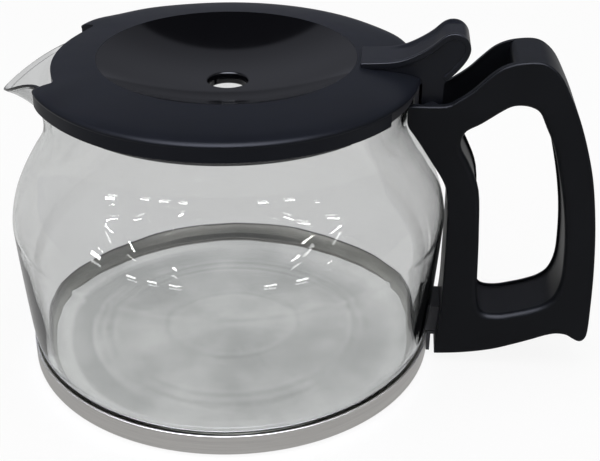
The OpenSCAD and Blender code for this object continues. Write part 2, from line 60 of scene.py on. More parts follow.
# Gaps between pieces, the width of a slit that is closed up, and how near counts as the same place
GAP = 0.3 * MM
CLEAR = 0.1 * MM
SLIT = 0.01 * MM
SAME_PLACE = 0.002 * MM
ON_FACE = 0.001 * MM
ON_LINE = 0.005 * MM
ON_CORNER = 0.01 * MM


def length(name, millimetres, description):
    """A size that a user may change."""
    return bpy.props.FloatProperty(
        name=name, description=description, default=millimetres * MM, min=0.0, unit="LENGTH", precision=5
    )


def number(name, default, description, **limits):
    """An angle in degrees or another plain number."""
    return bpy.props.FloatProperty(name=name, description=description, default=default, **limits)


def tint(name, default, description):
    """A colour that a user may change."""
    return bpy.props.FloatVectorProperty(
        name=name, description=description, default=default, size=4, min=0.0, max=1.0, subtype="COLOR"
    )


class JugSizes(bpy.types.PropertyGroup):
    """Sizes of the glass and its steel foot."""

    body_r: length("Body radius", 74.4, "Widest outer radius of the glass")
    height: length("Height", 103.8, "Height of the glass rim")
    foot_r: length("Foot radius", 70.4, "Outer radius where the foot band ends")
    neck_r: length("Neck radius", 59.9, "Outer radius of the waist under the rim")
    glass_t: length("Glass thickness", 2.2, "Thickness of the wall")
    floor_t: length("Floor thickness", 3.2, "Thickness of the glass floor")
    floor_dome: length("Floor dome", 1.1, "Rise of the floor in its middle")
    rim_flare: length("Rim flare", 1.4, "Flare of the rim beyond the waist")
    spout_reach: length("Spout reach", 15.2, "Reach of the spout beyond the rim")
    spout_drop: length("Spout drop", 9.5, "Drop of the spout tip below the rim")
    spout_half_angle: number("Spout half angle", 28.5, "Half of the angle that the spout takes")
    band_h: length("Band height", 7.8, "Height of the steel band")
    band_t: length("Band thickness", 0.6, "Sheet thickness of the steel band")
    band_lift: length("Band lift", 0.4, "Height of the band above the table")
    seal_t: length("Seal thickness", 0.65, "Silicone between glass and band")


class LidSizes(bpy.types.PropertyGroup):
    """Sizes of the lid, its dish and its thumb lever."""

    ring_t: length("Neck ring thickness", 0.7, "Thickness of the steel neck ring")
    ring_h: length("Neck ring height", 3.4, "Height of the steel neck ring")
    outer_r: length("Lid radius", 63.8, "Outer radius of the lid")
    dish_r: length("Dish radius", 42.6, "Radius of the dish rim")
    dish_depth: length("Dish depth", 9.4, "Depth of the dish")
    crown: length("Crown", 2.8, "Rise of the dish rim above the lid's edge")
    wall_t: length("Wall", 2.0, "Wall thickness of the lid mouldings")
    edge_t: length("Edge", 2.1, "Thickness of the lid at its edge")
    hole_r: length("Drip hole radius", 6.6, "Radius of the drip hole")
    tube_l: length("Tube length", 2.4, "Length of the tube under the drip hole")
    plug_h: length("Plug height", 8.0, "Depth of the wall that centres the lid")
    notch_half_angle: number("Notch half angle", 28.0, "Half of the notch over the spout")
    notch_depth: length("Notch depth", 6.8, "Depth of the notch over the spout")
    hinge_set: length("Hinge set", 7.3, "Hinge axis behind the waist")
    hinge_drop: length("Hinge drop", 9.3, "Hinge axis below the rim")
    knuckle_r: length("Knuckle radius", 3.5, "Outer radius of the knuckle")
    pin_r: length("Pin radius", 2.0, "Radius of the hinge pin")
    lever_half_w: length("Lever half width", 7.7, "Half width of the lever at its tip")
    lever_root_half_w: length("Lever root", 7.9, "Half width of the lever at its root")
    lever_rise: length("Lever rise", 26.6, "Crest of the lever above the hinge")
    lever_reach: length("Lever reach", 11.2, "Tip of the lever behind the hinge")
    lever_plate_t: length("Lever plate", 2.0, "Thickness of the curled top plate")
    lever_overhang: length("Lever overhang", 0.7, "Width of the plate beyond the web")


class HandleSizes(bpy.types.PropertyGroup):
    """Sizes of the loop handle."""

    half_w: length("Half width", 11.8, "Half width of the handle")
    depth: length("Depth", 51.7, "From the inner leg to the back")
    head_rise: length("Head rise", 16.2, "Crest above the front of the head")
    cheek_t: length("Cheek", 2.2, "Thickness of the cheeks")
    liner_t: length("Liner", 1.6, "Thickness of the strip in the window")
    liner_step: length("Liner step", 0.8, "Step from the cheek edge to the strip")
    edge_r: length("Edge radius", 1.5, "Rounding of the outer edges")
    window_edge_r: length("Window edge radius", 2.1, "Rounding of the window's edges")


class Finishes(bpy.types.PropertyGroup):
    """Colours of the object's surfaces."""

    glass: tint("Glass wall", (0.79, 0.785, 0.788, 1.0), "Blown glass wall")
    # Painted shade: the floor's darker colour stands for the shadowed table seen through it
    glass_floor_shade: tint("Glass floor", (0.50, 0.505, 0.505, 1.0), "Thick glass of the floor")
    glass_depth: tint("Glass depth", (0.60, 0.72, 0.66, 1.0), "Colour that thick glass takes")
    handle: tint("Handle", (0.0062, 0.0068, 0.0085, 1.0), "Satin black moulding")
    lid: tint("Lid", (0.0072, 0.0082, 0.0118, 1.0), "Satin blue black moulding")
    dish: tint("Dish", (0.0025, 0.0025, 0.0035, 1.0), "Polished black moulding")
    liner: tint("Liner", (0.0085, 0.0088, 0.0105, 1.0), "Strip in the window")
    steel: tint("Steel", (0.69, 0.675, 0.655, 1.0), "Brushed foot band")
    coated: tint("Coated steel", (0.008, 0.008, 0.009, 1.0), "Black neck ring and brackets")
    seal: tint("Seal", (0.97, 0.94, 0.88, 1.0), "Clear silicone over the foot band's back")
    fastener: tint("Fasteners", (0.55, 0.55, 0.56, 1.0), "Turned steel")


class Studio(bpy.types.PropertyGroup):
    """The camera and the light."""

    camera_place: bpy.props.FloatVectorProperty(
        name="Camera place", description="Where the camera stands", default=(0.0524, -0.3503, 0.2409),
        size=3, subtype="TRANSLATION"
    )
    heading: number("Heading", 94.55, "Degrees from +X")
    pitch: number("Pitch", 29.26, "Degrees below the horizon")
    roll: number("Roll", 0.62, "Degrees about the view axis")
    lens: number("Lens", 68.4, "Focal length in millimetres")
    fill: number("Fill", 0.42, "Brightness of the surroundings on plain surfaces", min=0.0, max=1.0)


def sizes():
    """The three groups of sizes, as plain short names."""
    scene = bpy.context.scene
    return scene.carafe_jug, scene.carafe_lid, scene.carafe_handle


def hinge_place(jug, lid):
    """The hinge axis in the handle's plane."""
    return jug.neck_r + lid.hinge_set, jug.height - lid.hinge_drop


# Curves


def smooth_step(t):
    """A soft step from 0 to 1."""
    t = max(0.0, min(1.0, t))
    return t * t * (3 - 2 * t)


def curve_point(a, b, c, d, t):
    """One point of a smooth curve between b and c."""
    return tuple(
        0.5 * (2 * q + (r - p) * t + (2 * p - 5 * q + 4 * r - s) * t * t + (3 * q - p - 3 * r + s) * t**3)
        for p, q, r, s in zip(a, b, c, d)
    )


def smooth_run(points, steps):
    """An open smooth curve through the points."""
    last = len(points) - 1
    run = [
        curve_point(points[max(i - 1, 0)], points[i], points[i + 1], points[min(i + 2, last)], k / steps)
        for i in range(last)
        for k in range(steps)
    ]
    return run + [tuple(points[-1])]


def smooth_loop(points, steps):
    """A closed smooth curve through the points."""
    n = len(points)
    return [
        curve_point(points[i - 1], points[i], points[(i + 1) % n], points[(i + 2) % n], k / steps)
        for i in range(n)
        for k in range(steps)
    ]


def side(a, b):
    """The normal on the right of the way from a to b."""
    x, z = b[0] - a[0], b[1] - a[1]
    size = math.hypot(x, z)
    return (z / size, -x / size)


def moved_point(a, b, c, d):
    """b moved sideways by d, where the line turns from a over b to c."""
    n, m = side(a, b), side(b, c)
    k = d / (1 + n[0] * m[0] + n[1] * m[1])
    return (b[0] + k * (n[0] + m[0]), b[1] + k * (n[1] + m[1]))


def moved_loop(points, d):
    """A closed outline moved outwards by d, or inwards where d is negative."""
    n = len(points)
    return [moved_point(points[i - 1], points[i], points[(i + 1) % n], d) for i in range(n)]


def moved_run(points, d):
    """An open line moved to its right by d."""
    first, last = side(points[0], points[1]), side(points[-2], points[-1])
    start = (points[0][0] + d * first[0], points[0][1] + d * first[1])
    end = (points[-1][0] + d * last[0], points[-1][1] + d * last[1])
    middle = [moved_point(points[i - 1], points[i], points[i + 1], d) for i in range(1, len(points) - 1)]
    return [start] + middle + [end]


def arc(centre, radius, start, end, steps):
    """Points of an arc, its angles in degrees."""
    return [
        (
            centre[0] + radius * math.cos(math.radians(start + (end - start) * k / steps)),
            centre[1] + radius * math.sin(math.radians(start + (end - start) * k / steps)),
        )
        for k in range(steps + 1)
    ]


# Modelling by operators


def start_clean():
    """Nothing is selected and nothing is in edit mode."""
    if bpy.context.object and bpy.context.object.mode != "OBJECT":
        bpy.ops.object.mode_set(mode="OBJECT")
    bpy.ops.object.select_all(action="DESELECT")


def pick(piece):
    """Only this piece is selected and active."""
    start_clean()
    piece.select_set(True)
    bpy.context.view_layer.objects.active = piece


def outline_piece(name, places, fill="NGON"):
    """A circle primitive whose corners are laid on the places of an outline, in order."""
    start_clean()
    bpy.ops.mesh.primitive_circle_add(vertices=len(places), radius=0.05, fill_type=fill)
    piece = bpy.context.object
    piece.name = piece.data.name = name
    for corner, place in zip(piece.data.vertices, places):
        corner.co = place
    return piece


def edit_all(piece, *steps):
    """Runs operators in edit mode on the whole of the piece."""
    pick(piece)
    bpy.ops.object.mode_set(mode="EDIT")
    bpy.ops.mesh.select_mode(type="VERT")
    take_all()
    for step in steps:
        step()
    bpy.ops.object.mode_set(mode="OBJECT")


def take_all():
    """Selects the whole piece in edit mode."""
    bpy.ops.mesh.select_all(action="SELECT")


def outward():
    """Turns the selected faces outwards."""
    bpy.ops.mesh.normals_make_consistent(inside=False)


def merge_close():
    """Merges corners that lie on each other."""
    bpy.ops.mesh.remove_doubles(threshold=SAME_PLACE)


def lathe(name, section, steps=ROUND_STEPS):
    """A solid of revolution about the jug's axis, from a closed section of (radius, height)."""
    piece = outline_piece(name, [(max(r, 0.0), 0.0, z) for r, z in section], "NOTHING")

    def turn():
        bpy.ops.mesh.spin(steps=steps, angle=math.tau, center=(0, 0, 0), axis=(0, 0, 1), use_auto_merge=True)

    edit_all(piece, turn, take_all, merge_close, bpy.ops.mesh.delete_loose, take_all, outward)
    return piece


def prism(name, places, way):
    """A prism over a flat outline, pulled along the way."""
    piece = outline_piece(name, places)

    def pull():
        bpy.ops.mesh.extrude_region_move(TRANSFORM_OT_translate={"value": way})

    edit_all(piece, pull, take_all, outward)
    return piece


def plate(name, outline, half_w):
    """A plate of an outline in the handle's plane, centred on that plane."""
    return prism(name, [(x, -half_w, z) for x, z in outline], (0, half_w * 2, 0))


def pillar(name, outline, low, high):
    """A prism that stands on an outline in plan."""
    return prism(name, [(x, y, low) for x, y in outline], (0, 0, high - low))


def apply_modifier(piece, kind, **settings):
    """Adds a modifier, sets it and applies it."""
    pick(piece)
    modifier = piece.modifiers.new(kind.title(), kind)
    for name, value in settings.items():
        setattr(modifier, name, value)
    bpy.ops.object.modifier_apply(modifier=modifier.name)


def combine(piece, tool, way="DIFFERENCE"):
    """Cuts or joins the piece with a tool solid, which is then taken away."""
    apply_modifier(piece, "BOOLEAN", operation=way, object=tool, solver="EXACT")
    bpy.data.objects.remove(tool)
    edit_all(piece, close_up)


def close_up():
    """Closes the hair-thin slits a cut can leave, so that the next cut gets a sound solid."""
    bpy.ops.mesh.remove_doubles(threshold=SLIT)
    bpy.ops.mesh.dissolve_degenerate(threshold=SLIT / 2)
    bpy.ops.mesh.delete_loose()
    bpy.ops.mesh.select_all(action="DESELECT")
    bpy.ops.mesh.select_mode(type="EDGE")
    bpy.ops.mesh.select_non_manifold(extend=False, use_wire=True, use_boundary=True, use_multi_face=False,
                                     use_non_contiguous=False, use_verts=False)
    bpy.ops.mesh.fill_holes(sides=0)


def round_edges(piece, radius, segments, chosen):
    """Rounds the edges whose two corners the function chosen accepts."""
    pick(piece)
    bpy.ops.object.mode_set(mode="EDIT")
    bpy.ops.mesh.select_mode(type="EDGE")
    bpy.ops.mesh.select_all(action="DESELECT")
    bpy.ops.object.mode_set(mode="OBJECT")
    mesh = piece.data
    for edge in mesh.edges:
        a, b = (mesh.vertices[i].co for i in edge.vertices)
        edge.select = chosen(a, b)
    bpy.ops.object.mode_set(mode="EDIT")
    bpy.ops.mesh.bevel(offset=radius, offset_type="OFFSET", segments=segments, profile=0.5,
                       clamp_overlap=True)
    bpy.ops.object.mode_set(mode="OBJECT")


def paint(piece, material):
    """Gives a piece its one material."""
    piece.data.materials.clear()
    piece.data.materials.append(material)


def finish_piece(piece, body, material, node, angle=34.0, even=True):
    """Shades a piece, gives it its material, ties it to its body and hides the frame part that it stands for.
    """
    pick(piece)
    bpy.ops.object.shade_smooth_by_angle(angle=math.radians(angle))
    if even:
        apply_modifier(piece, "WEIGHTED_NORMAL", keep_sharp=True, weight=60)
    paint(piece, material)
    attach(piece, body)
    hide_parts(node)


# The glass

# The outer line: shares of the swell, the waist or the rim's flare across, and of the height up
LOWER_SHARES = [(0.22, 0.115), (0.45, 0.193), (0.73, 0.337), (0.97, 0.482), (1, 0.534)]
UPPER_SHARES = [(0.9, 0.598), (0.73, 0.655), (0.5, 0.713), (0.28, 0.761), (0.11, 0.81),
                (0.025, 0.85), (0, 0.888)]
NECK_SHARES = [(0.12, 0.935), (0.5, 0.97)]
RIM_ROLL = 0.37
HEEL_SHARE = 0.148
HEEL_ANGLES = [math.radians(6 * k) for k in range(15)]
INNER_HEEL_RUN = 0.16
INNER_HEEL_TALL = 1.25
FLOOR_STEPS = 64
THINNING = 0.36
THIN_TOP, THIN_TOP_RUN = 0.85, 0.35
THIN_LOW, THIN_LOW_RUN = 0.08, 0.42
LOFT_SHARE = 0.761
OUT_POWERS = (3.3, 2.0)
DOWN_POWERS = (4.5, 1.3)

# Rings of the floor: share of the way inwards, spread and rise
PRESSED_RINGS = [(0.6, 0.022, 0.26), (0.245, 0.02, 0.3), (0.17, 0.02, 0.24)]


def glass_profile(jug, steps):
    """Outer line, from the foot up to the rim, and the points of the heel under it."""
    heel_h = jug.band_lift + jug.band_h
    heel_run = jug.foot_r * HEEL_SHARE
    swell = jug.body_r - jug.foot_r
    waist = jug.body_r - jug.neck_r
    points = [(jug.foot_r, heel_h)]
    points += [(jug.foot_r + u * swell, v * jug.height) for u, v in LOWER_SHARES]
    points += [(jug.neck_r + u * waist, v * jug.height) for u, v in UPPER_SHARES]
    points += [(jug.neck_r + jug.rim_flare * u, v * jug.height) for u, v in NECK_SHARES]
    points += [(jug.neck_r + jug.rim_flare, jug.height - jug.glass_t / 2 - jug.rim_flare * RIM_ROLL)]
    heel = [
        (jug.foot_r - heel_run + heel_run * math.sin(a), heel_h - heel_h * math.cos(a))
        for a in HEEL_ANGLES
    ]
    return heel, smooth_run(points, steps)


def pour(jug, place):
    """Where the spout takes a point of the neck."""
    angle = math.degrees(math.atan2(place.y, -place.x))
    if abs(angle) >= jug.spout_half_angle:
        return place
    low = jug.height * LOFT_SHARE
    lift = max(0.0, min(1.0, (place.z - low) / (jug.height - low)))
    facing = math.cos(math.radians(90 * angle / jug.spout_half_angle))
    out = jug.spout_reach * facing ** OUT_POWERS[0] * lift ** OUT_POWERS[1]
    down = jug.spout_drop * facing ** DOWN_POWERS[0] * lift ** DOWN_POWERS[1]
    radius = math.hypot(place.x, place.y)
    grown = (radius + out) / radius
    return Vector((place.x * grown, place.y * grown, place.z - down))


def wall_share(height_share):
    """How much of the full wall is left where blowing has stretched the glass."""
    below, above = (THIN_TOP - height_share) / THIN_TOP_RUN, (height_share - THIN_LOW) / THIN_LOW_RUN
    return 1 - THINNING * smooth_step(below) * smooth_step(above)


def floor_swell(inward):
    """Rise of the glass floor from its edge (0) to its middle (1), with soft pressed rings."""
    rings = sum(rise * math.exp(-((inward - middle) / spread) ** 2) for middle, spread, rise in PRESSED_RINGS)
    return 0.5 - 0.5 * math.cos(math.pi * inward) + rings


class CARAFE_OT_glass(bpy.types.Operator):
    """Spins the blown glass body and draws its pouring spout out of the rim"""

    bl_idname = "carafe.glass"
    bl_label = "Glass jug"

    def execute(self, context):
        jug, _, _ = sizes()
        heel, outer = glass_profile(jug, 6)
        full = moved_run(outer, -jug.glass_t)
        inner = [
            tuple(p + (q - p) * wall_share(a[1] / jug.height) for p, q in zip(a, b))
            for a, b in zip(outer, full)
        ]
        rim = tuple((a + b) / 2 for a, b in zip(outer[-1], inner[-1]))
        heel_top = (jug.band_lift + jug.band_h) * INNER_HEEL_TALL
        inner = [place for place in inner if place[1] > heel_top]
        heel_run = jug.foot_r * INNER_HEEL_RUN
        inner_r, inner_z = inner[0]
        inner_heel = [
            (inner_r - heel_run + heel_run * math.sin(a), inner_z - (inner_z - jug.floor_t) * math.cos(a))
            for a in reversed(HEEL_ANGLES)
        ]
        floor_r = inner_heel[-1][0]
        floor = [
            (floor_r * (1 - t), jug.floor_t + jug.floor_dome * floor_swell(t))
            for t in (k / FLOOR_STEPS for k in range(1, FLOOR_STEPS + 1))
        ]
        section = [(0, 0)] + heel + outer + arc(rim, jug.glass_t / 2, 15, 165, 10) + inner[::-1]
        section += inner_heel + floor
        piece = lathe("glass_body", section, GLASS_STEPS)
        for corner in piece.data.vertices:
            corner.co = pour(jug, corner.co.copy())
        finish_piece(piece, JUG, glass_material(), "glass_jug", 50, even=False)
        return {"FINISHED"}


# The foot


class CARAFE_OT_foot(bpy.types.Operator):
    """Turns the brushed steel band with its rolled lower edge"""

    bl_idname = "carafe.foot"
    bl_label = "Foot band"

    def execute(self, context):
        jug, _, _ = sizes()
        inner = jug.foot_r + jug.seal_t
        outer = inner + jug.band_t
        low = jug.band_lift
        top = low + jug.band_h
        t = jug.band_t
        roll, lip, turned_in = t * 1.8, t * 0.3, inner - t * 5
        section = [(turned_in, low), (outer - roll, low)]
        section += arc((outer - roll, low + roll), roll, -75, 0, 6)
        section += arc((outer - lip, top - lip), lip, 0, 90, 4)
        section += [(inner, top), (inner, low + roll)]
        section += arc((inner - roll / 2, low + t + roll / 2), roll / 2, 0, -90, 4)
        section += [(turned_in, low + t)]
        band = lathe("foot_band", section)
        finish_piece(band, JUG, steel_material(), "base_band")
        return {"FINISHED"}


# The handle

# Shares across and up, as HandlePlan reads them: the back and the front of the loop, and its window
BACK_SHARES = [(-1.08, 1), (-0.28, 1.02), (0, 1.14), (0.085, 1.35), (0.158, 1.59), (0.232, 1.81),
               (0.312, 1.94), (0.406, 2), (0.488, 2), (0.553, 1.91), (0.619, 1.7), (0.685, 1.33),
               (0.757, 0.975), (0.83, 0.87), (0.896, 0.745), (0.949, 0.58), (0.982, 0.41),
               (0.998, 0.245), (1, 0.15), (0.978, 0.12), (0.945, 0.115), (0.905, 0.125),
               (0.858, 0.139), (0.792, 0.142), (0.722, 0.132), (0.625, 0.11), (0.507, 0.085),
               (0.38, 0.061), (0.24, 0.044), (0.11, 0.034), (-0.07, 0.028)]
FRONT_SHARES = [(-0.07, 0.028), (-0.06, 0.1), (0.002, 0.22), (0.002, 0.36), (0, 0.5), (-0.02, 0.61),
                (-0.079, 0.69), (-0.21, 0.74), (-0.45, 0.795), (-0.69, 0.85), (-0.87, 0.889),
                (-1.03, 0.922), (-1.075, 0.95), (-1.08, 1)]
WINDOW_SHARES = [(0.211, 0.54), (0.224, 0.42), (0.234, 0.31), (0.252, 0.243), (0.297, 0.21),
                 (0.396, 0.206), (0.505, 0.22), (0.594, 0.235), (0.683, 0.257), (0.745, 0.292),
                 (0.778, 0.357), (0.777, 0.45), (0.759, 0.56), (0.723, 0.67), (0.675, 0.775),
                 (0.622, 0.87), (0.563, 0.937), (0.515, 0.987), (0.46, 1.035), (0.396, 1.066),
                 (0.337, 1.035), (0.273, 0.985), (0.164, 0.942), (0.074, 0.912), (0.047, 0.876),
                 (0.059, 0.842), (0.113, 0.791), (0.184, 0.695)]
BLOCK_LOW_SHARE = 0.766
LEG_SHARE = 1.01
HEAD_SHARE = 0.01
CHANNEL_END = 0.325
CHANNEL_TOP = 1.985
ABOVE_ALL = 3


class HandlePlan:
    """Places of the handle in its plane, from the sizes."""

    def __init__(self, jug, lid, handle):
        self.leg_x = jug.body_r * LEG_SHARE
        self.head_x = jug.neck_r + HEAD_SHARE * jug.body_r
        self.hinge = hinge_place(jug, lid)
        self.head_z = self.hinge[1] + lid.knuckle_r
        self.depth = handle.depth
        self.rise = handle.head_rise
        back = smooth_run(self.places(BACK_SHARES), 5)
        front = smooth_run(self.places(FRONT_SHARES), 5)
        self.outline = (back[:-1] + front[:-1])[::-1]
        self.window = smooth_loop(self.places(WINDOW_SHARES), 4)

    def x(self, u):
        """A place across, where 0 is the leg, 1 the back and -1 the head's front at the glass neck."""
        return self.leg_x + u * ((self.leg_x - self.head_x) if u < 0 else self.depth)

    def z(self, v):
        """A height, where 0 is the table, 1 the front of the head and 2 its crest."""
        return v * self.head_z if v < 1 else self.head_z + (v - 1) * self.rise

    def places(self, shares):
        """The places of a line of shares."""
        return [(self.x(u), self.z(v)) for u, v in shares]


def near_line(points, place, reach):
    """Whether a place in the handle's plane lies within reach of a closed line of points."""
    limit = reach * reach
    x, z = place
    n = len(points)
    for i in range(n):
        ax, az = points[i]
        bx, bz = points[(i + 1) % n]
        dx, dz = bx - ax, bz - az
        t = max(0.0, min(1.0, ((x - ax) * dx + (z - az) * dz) / (dx * dx + dz * dz)))
        if (x - ax - t * dx) ** 2 + (z - az - t * dz) ** 2 < limit:
            return True
    return False


def face_edges(line, half_w):
    """Chooses a plate's edges that lie on its two faces and along a closed line."""

    def chosen(a, b):
        on_face = abs(abs(a.y) - half_w) < ON_FACE and abs(a.y - b.y) < ON_FACE
        return on_face and all(near_line(line, (p.x, p.z), ON_LINE) for p in (a, b))

    return chosen


class CARAFE_OT_handle(bpy.types.Operator):
    """Moulds the two-cheeked loop handle with its window, its open channel and the strip step"""

    bl_idname = "carafe.handle"
    bl_label = "Handle"

    def execute(self, context):
        jug, lid, handle = sizes()
        plan = HandlePlan(jug, lid, handle)
        half_w = handle.half_w
        cheek_in = half_w - handle.cheek_t
        piece = plate("handle_moulding", plan.outline, half_w)
        combine(piece, plate("window_tool", plan.window, half_w * 2))

        round_edges(piece, handle.window_edge_r, 6, face_edges(plan.window, half_w))
        round_edges(piece, handle.edge_r, 5, face_edges(plan.outline, half_w))

        floor_z = plan.hinge[1] - lid.knuckle_r - 1.2 * MM
        end_x = plan.x(CHANNEL_END)
        lip = 2.4 * MM
        lip_z = plan.z(CHANNEL_TOP)
        over = 4 * MM
        channel = [(plan.head_x - over, floor_z), (plan.leg_x, floor_z),
                   (plan.x(CHANNEL_END - 0.005), plan.z(1.06)), (end_x, plan.z(1.2))]
        channel += arc((end_x + lip, lip_z - lip), lip, 180, 90, 8)
        channel += [(end_x + lip, plan.z(ABOVE_ALL)), (plan.head_x - over, plan.z(ABOVE_ALL))]
        combine(piece, plate("channel_tool", channel, cheek_in))
        round_head = arc((0, 0), plan.head_x, 0, 357.5, 143)
        combine(piece, pillar("head_tool", round_head, jug.height * BLOCK_LOW_SHARE, plan.z(ABOVE_ALL)))
        recess = moved_loop(plan.window, handle.liner_step + handle.liner_t + CLEAR)
        combine(piece, plate("recess_tool", recess, cheek_in))
        finish_piece(piece, JUG, handle_material(), "handle_shell")

        strip_half_w = cheek_in - CLEAR
        strip_line = moved_loop(plan.window, handle.liner_step + handle.liner_t)
        strip = plate("window_strip", strip_line, strip_half_w)
        opening = moved_loop(plan.window, handle.liner_step)
        combine(strip, plate("strip_tool", opening, half_w * 2))

        round_edges(strip, 0.35 * MM, 3, face_edges(opening, strip_half_w))
        finish_piece(strip, JUG, liner_material(), "handle_liner")
        return {"FINISHED"}


# The lid

# Warps of the flange: degrees from the spout, spread, and rise and reach in millimetres
LIFTS = [(33.5, 8, 0.8, 0.9), (52, 12, 0.35, 0.35), (151, 9, 0.35, 0.4)]
HINGE_GAP_ANGLE = 31.5
PLUG_GAP_ANGLE = 42
NOTCH_FLARE = 1.2
NOTCH_ROUND = 1.4 * MM
BOWL_STEPS = 40


class LidPlan:
    """Heights and radii of the lid, from the sizes."""

    def __init__(self, jug, lid):
        rim_r = jug.neck_r + jug.rim_flare
        self.base_z = jug.height + GAP
        self.skirt_in = rim_r + lid.ring_t + GAP
        self.skirt_z = jug.height - jug.glass_t * 0.2 - lid.ring_h - 0.2 * MM
        self.edge_z = self.base_z + lid.edge_t
        self.dish_z = self.edge_z + lid.crown
        self.floor_z = self.dish_z - lid.dish_depth
        self.sphere_r = (lid.dish_r**2 + lid.dish_depth**2) / (2 * lid.dish_depth)
        self.plug_r = jug.neck_r - jug.glass_t - GAP * 2
        self.hinge = hinge_place(jug, lid)
        run = lid.outer_r - lid.dish_r
        edge = lid.edge_t
        self.top = smooth_run(
            [(lid.dish_r, self.dish_z), (lid.dish_r + run * 0.4, self.edge_z + lid.crown * 0.66),
             (lid.dish_r + run * 0.75, self.edge_z + lid.crown * 0.28),
             (lid.outer_r - edge * 0.9, self.edge_z), (lid.outer_r - edge * 0.25, self.edge_z - edge * 0.3),
             (lid.outer_r, self.edge_z - edge * 0.65), (lid.outer_r - edge * 0.1, self.base_z)], 5)


def pie(name, start, end, reach, low, high):
    """A wedge about the jug's axis between two angles in degrees, for cutting."""
    outline = [(0, 0)] + arc((0, 0), reach, start, end, max(3, int((end - start) / 6)))
    return pillar(name, outline, low, high)


def lifted(lid, place):
    """Where the slight warp of the real lid's flange takes a point outside the dish."""
    radius = math.hypot(place.x, place.y)
    if radius <= lid.dish_r:
        return place
    outward_share = min(1.0, (radius - lid.dish_r) / (lid.outer_r - lid.dish_r)) ** 2
    angle = abs(math.degrees(math.atan2(place.y, -place.x)))
    up = out = 0.0
    for middle, spread, rise, reach in LIFTS:
        here = math.exp(-((angle - middle) / spread) ** 2) * outward_share * MM
        up += rise * here
        out += reach * here
    grown = (radius + out) / radius
    return Vector((place.x * grown, place.y * grown, place.z + up))


class CARAFE_OT_lid(bpy.types.Operator):
    """Turns the lid's satin ring with its skirt and plug, and the polished dish in it"""

    bl_idname = "carafe.lid"
    bl_label = "Lid"

    def execute(self, context):
        jug, lid, _ = sizes()
        plan = LidPlan(jug, lid)
        wall = lid.wall_t
        low = plan.base_z - lid.plug_h - MM
        run = lid.outer_r - lid.dish_r
        ring = lathe("lid_ring_moulding", plan.top + [
            (lid.dish_r + run * 0.62, plan.base_z), (lid.dish_r, plan.dish_z - wall)])

        soft = 0.2 * MM
        skirt_in, skirt_out, skirt_z = plan.skirt_in, lid.outer_r - soft, plan.skirt_z
        skirt = lathe("skirt", [
            (skirt_in, plan.base_z + wall / 2), (skirt_in, skirt_z + soft), (skirt_in + soft, skirt_z),
            (skirt_out - soft * 2, skirt_z), (skirt_out - soft / 2, skirt_z + soft * 0.6),
            (skirt_out, skirt_z + soft * 2), (skirt_out, plan.base_z + wall / 2)])
        reach = lid.outer_r * 1.5
        combine(skirt, pie("hinge_gap", -HINGE_GAP_ANGLE, HINGE_GAP_ANGLE, reach, low, plan.dish_z))
        plug_in = plan.plug_r - wall * 0.8
        plug = lathe("plug", [
            (plug_in, plan.base_z + wall / 2), (plug_in, plan.base_z - lid.plug_h),
            (plan.plug_r - wall * 0.3, plan.base_z - lid.plug_h), (plan.plug_r, plan.base_z + wall / 2)])
        combine(plug, pie("plug_gap", -PLUG_GAP_ANGLE, PLUG_GAP_ANGLE, reach, low - MM, plan.dish_z))
        half = lid.notch_half_angle
        combine(plug, pie("plug_notch", 180 - half, 180 + half, lid.outer_r, low - MM, plan.dish_z))
        combine(ring, skirt, "UNION")
        combine(ring, plug, "UNION")

        notch_r = lid.outer_r - lid.notch_depth
        wide = half + NOTCH_FLARE
        outer = arc((0, 0), lid.outer_r * 1.4, 180 - wide, 180 + wide, 12)
        inner = arc((0, 0), notch_r, 180 + half, 180 - half, 28)
        notch = pillar("notch_tool", outer + inner, low, plan.dish_z + MM)

        def in_corner(p):
            off_angle = abs(abs(math.degrees(math.atan2(p.y, -p.x))) - half)
            return off_angle < 0.5 and abs(math.hypot(p.x, p.y) - notch_r) < ON_CORNER

        round_edges(notch, NOTCH_ROUND, 5, lambda a, b: abs(a.z - b.z) > MM and in_corner(a) and in_corner(b))
        combine(ring, notch)
        for corner in ring.data.vertices:
            corner.co = lifted(lid, corner.co.copy())
        finish_piece(ring, LID, lid_material(), "lid_ring", 30)

        rim_r = lid.dish_r - 0.05 * MM
        bowl_in = lid.hole_r + wall * 0.35

        def bowl_z(r):
            return plan.floor_z + plan.sphere_r - math.sqrt(plan.sphere_r**2 - r * r)

        bowl_rs = [bowl_in + (rim_r - bowl_in) * k / BOWL_STEPS for k in range(BOWL_STEPS + 1)]
        bowl = [(r, bowl_z(r)) for r in bowl_rs]
        under = moved_run(bowl, wall)
        tube_low = plan.floor_z - wall / 2 - lid.tube_l
        mouth = arc((bowl_in, bowl_z(bowl_in) - wall * 0.35), wall * 0.35, 180, 100, 5)
        section = [(lid.hole_r - wall * 0.2, tube_low)] + mouth + bowl
        section += [(rim_r, plan.dish_z - wall - 0.1 * MM),
                    (lid.dish_r + wall * 1.6, plan.dish_z - wall - 0.9 * MM),
                    (lid.dish_r + wall * 1.6, plan.dish_z - wall * 2)]
        section += under[::-1][4:-4] + [(lid.hole_r + wall * 0.7, plan.floor_z - wall)]
        section += [(lid.hole_r + wall * 0.6, tube_low)]
        dish = lathe("lid_dish_moulding", section)
        finish_piece(dish, LID, dish_material(), "lid_dish")
        return {"FINISHED"}


# The thumb lever

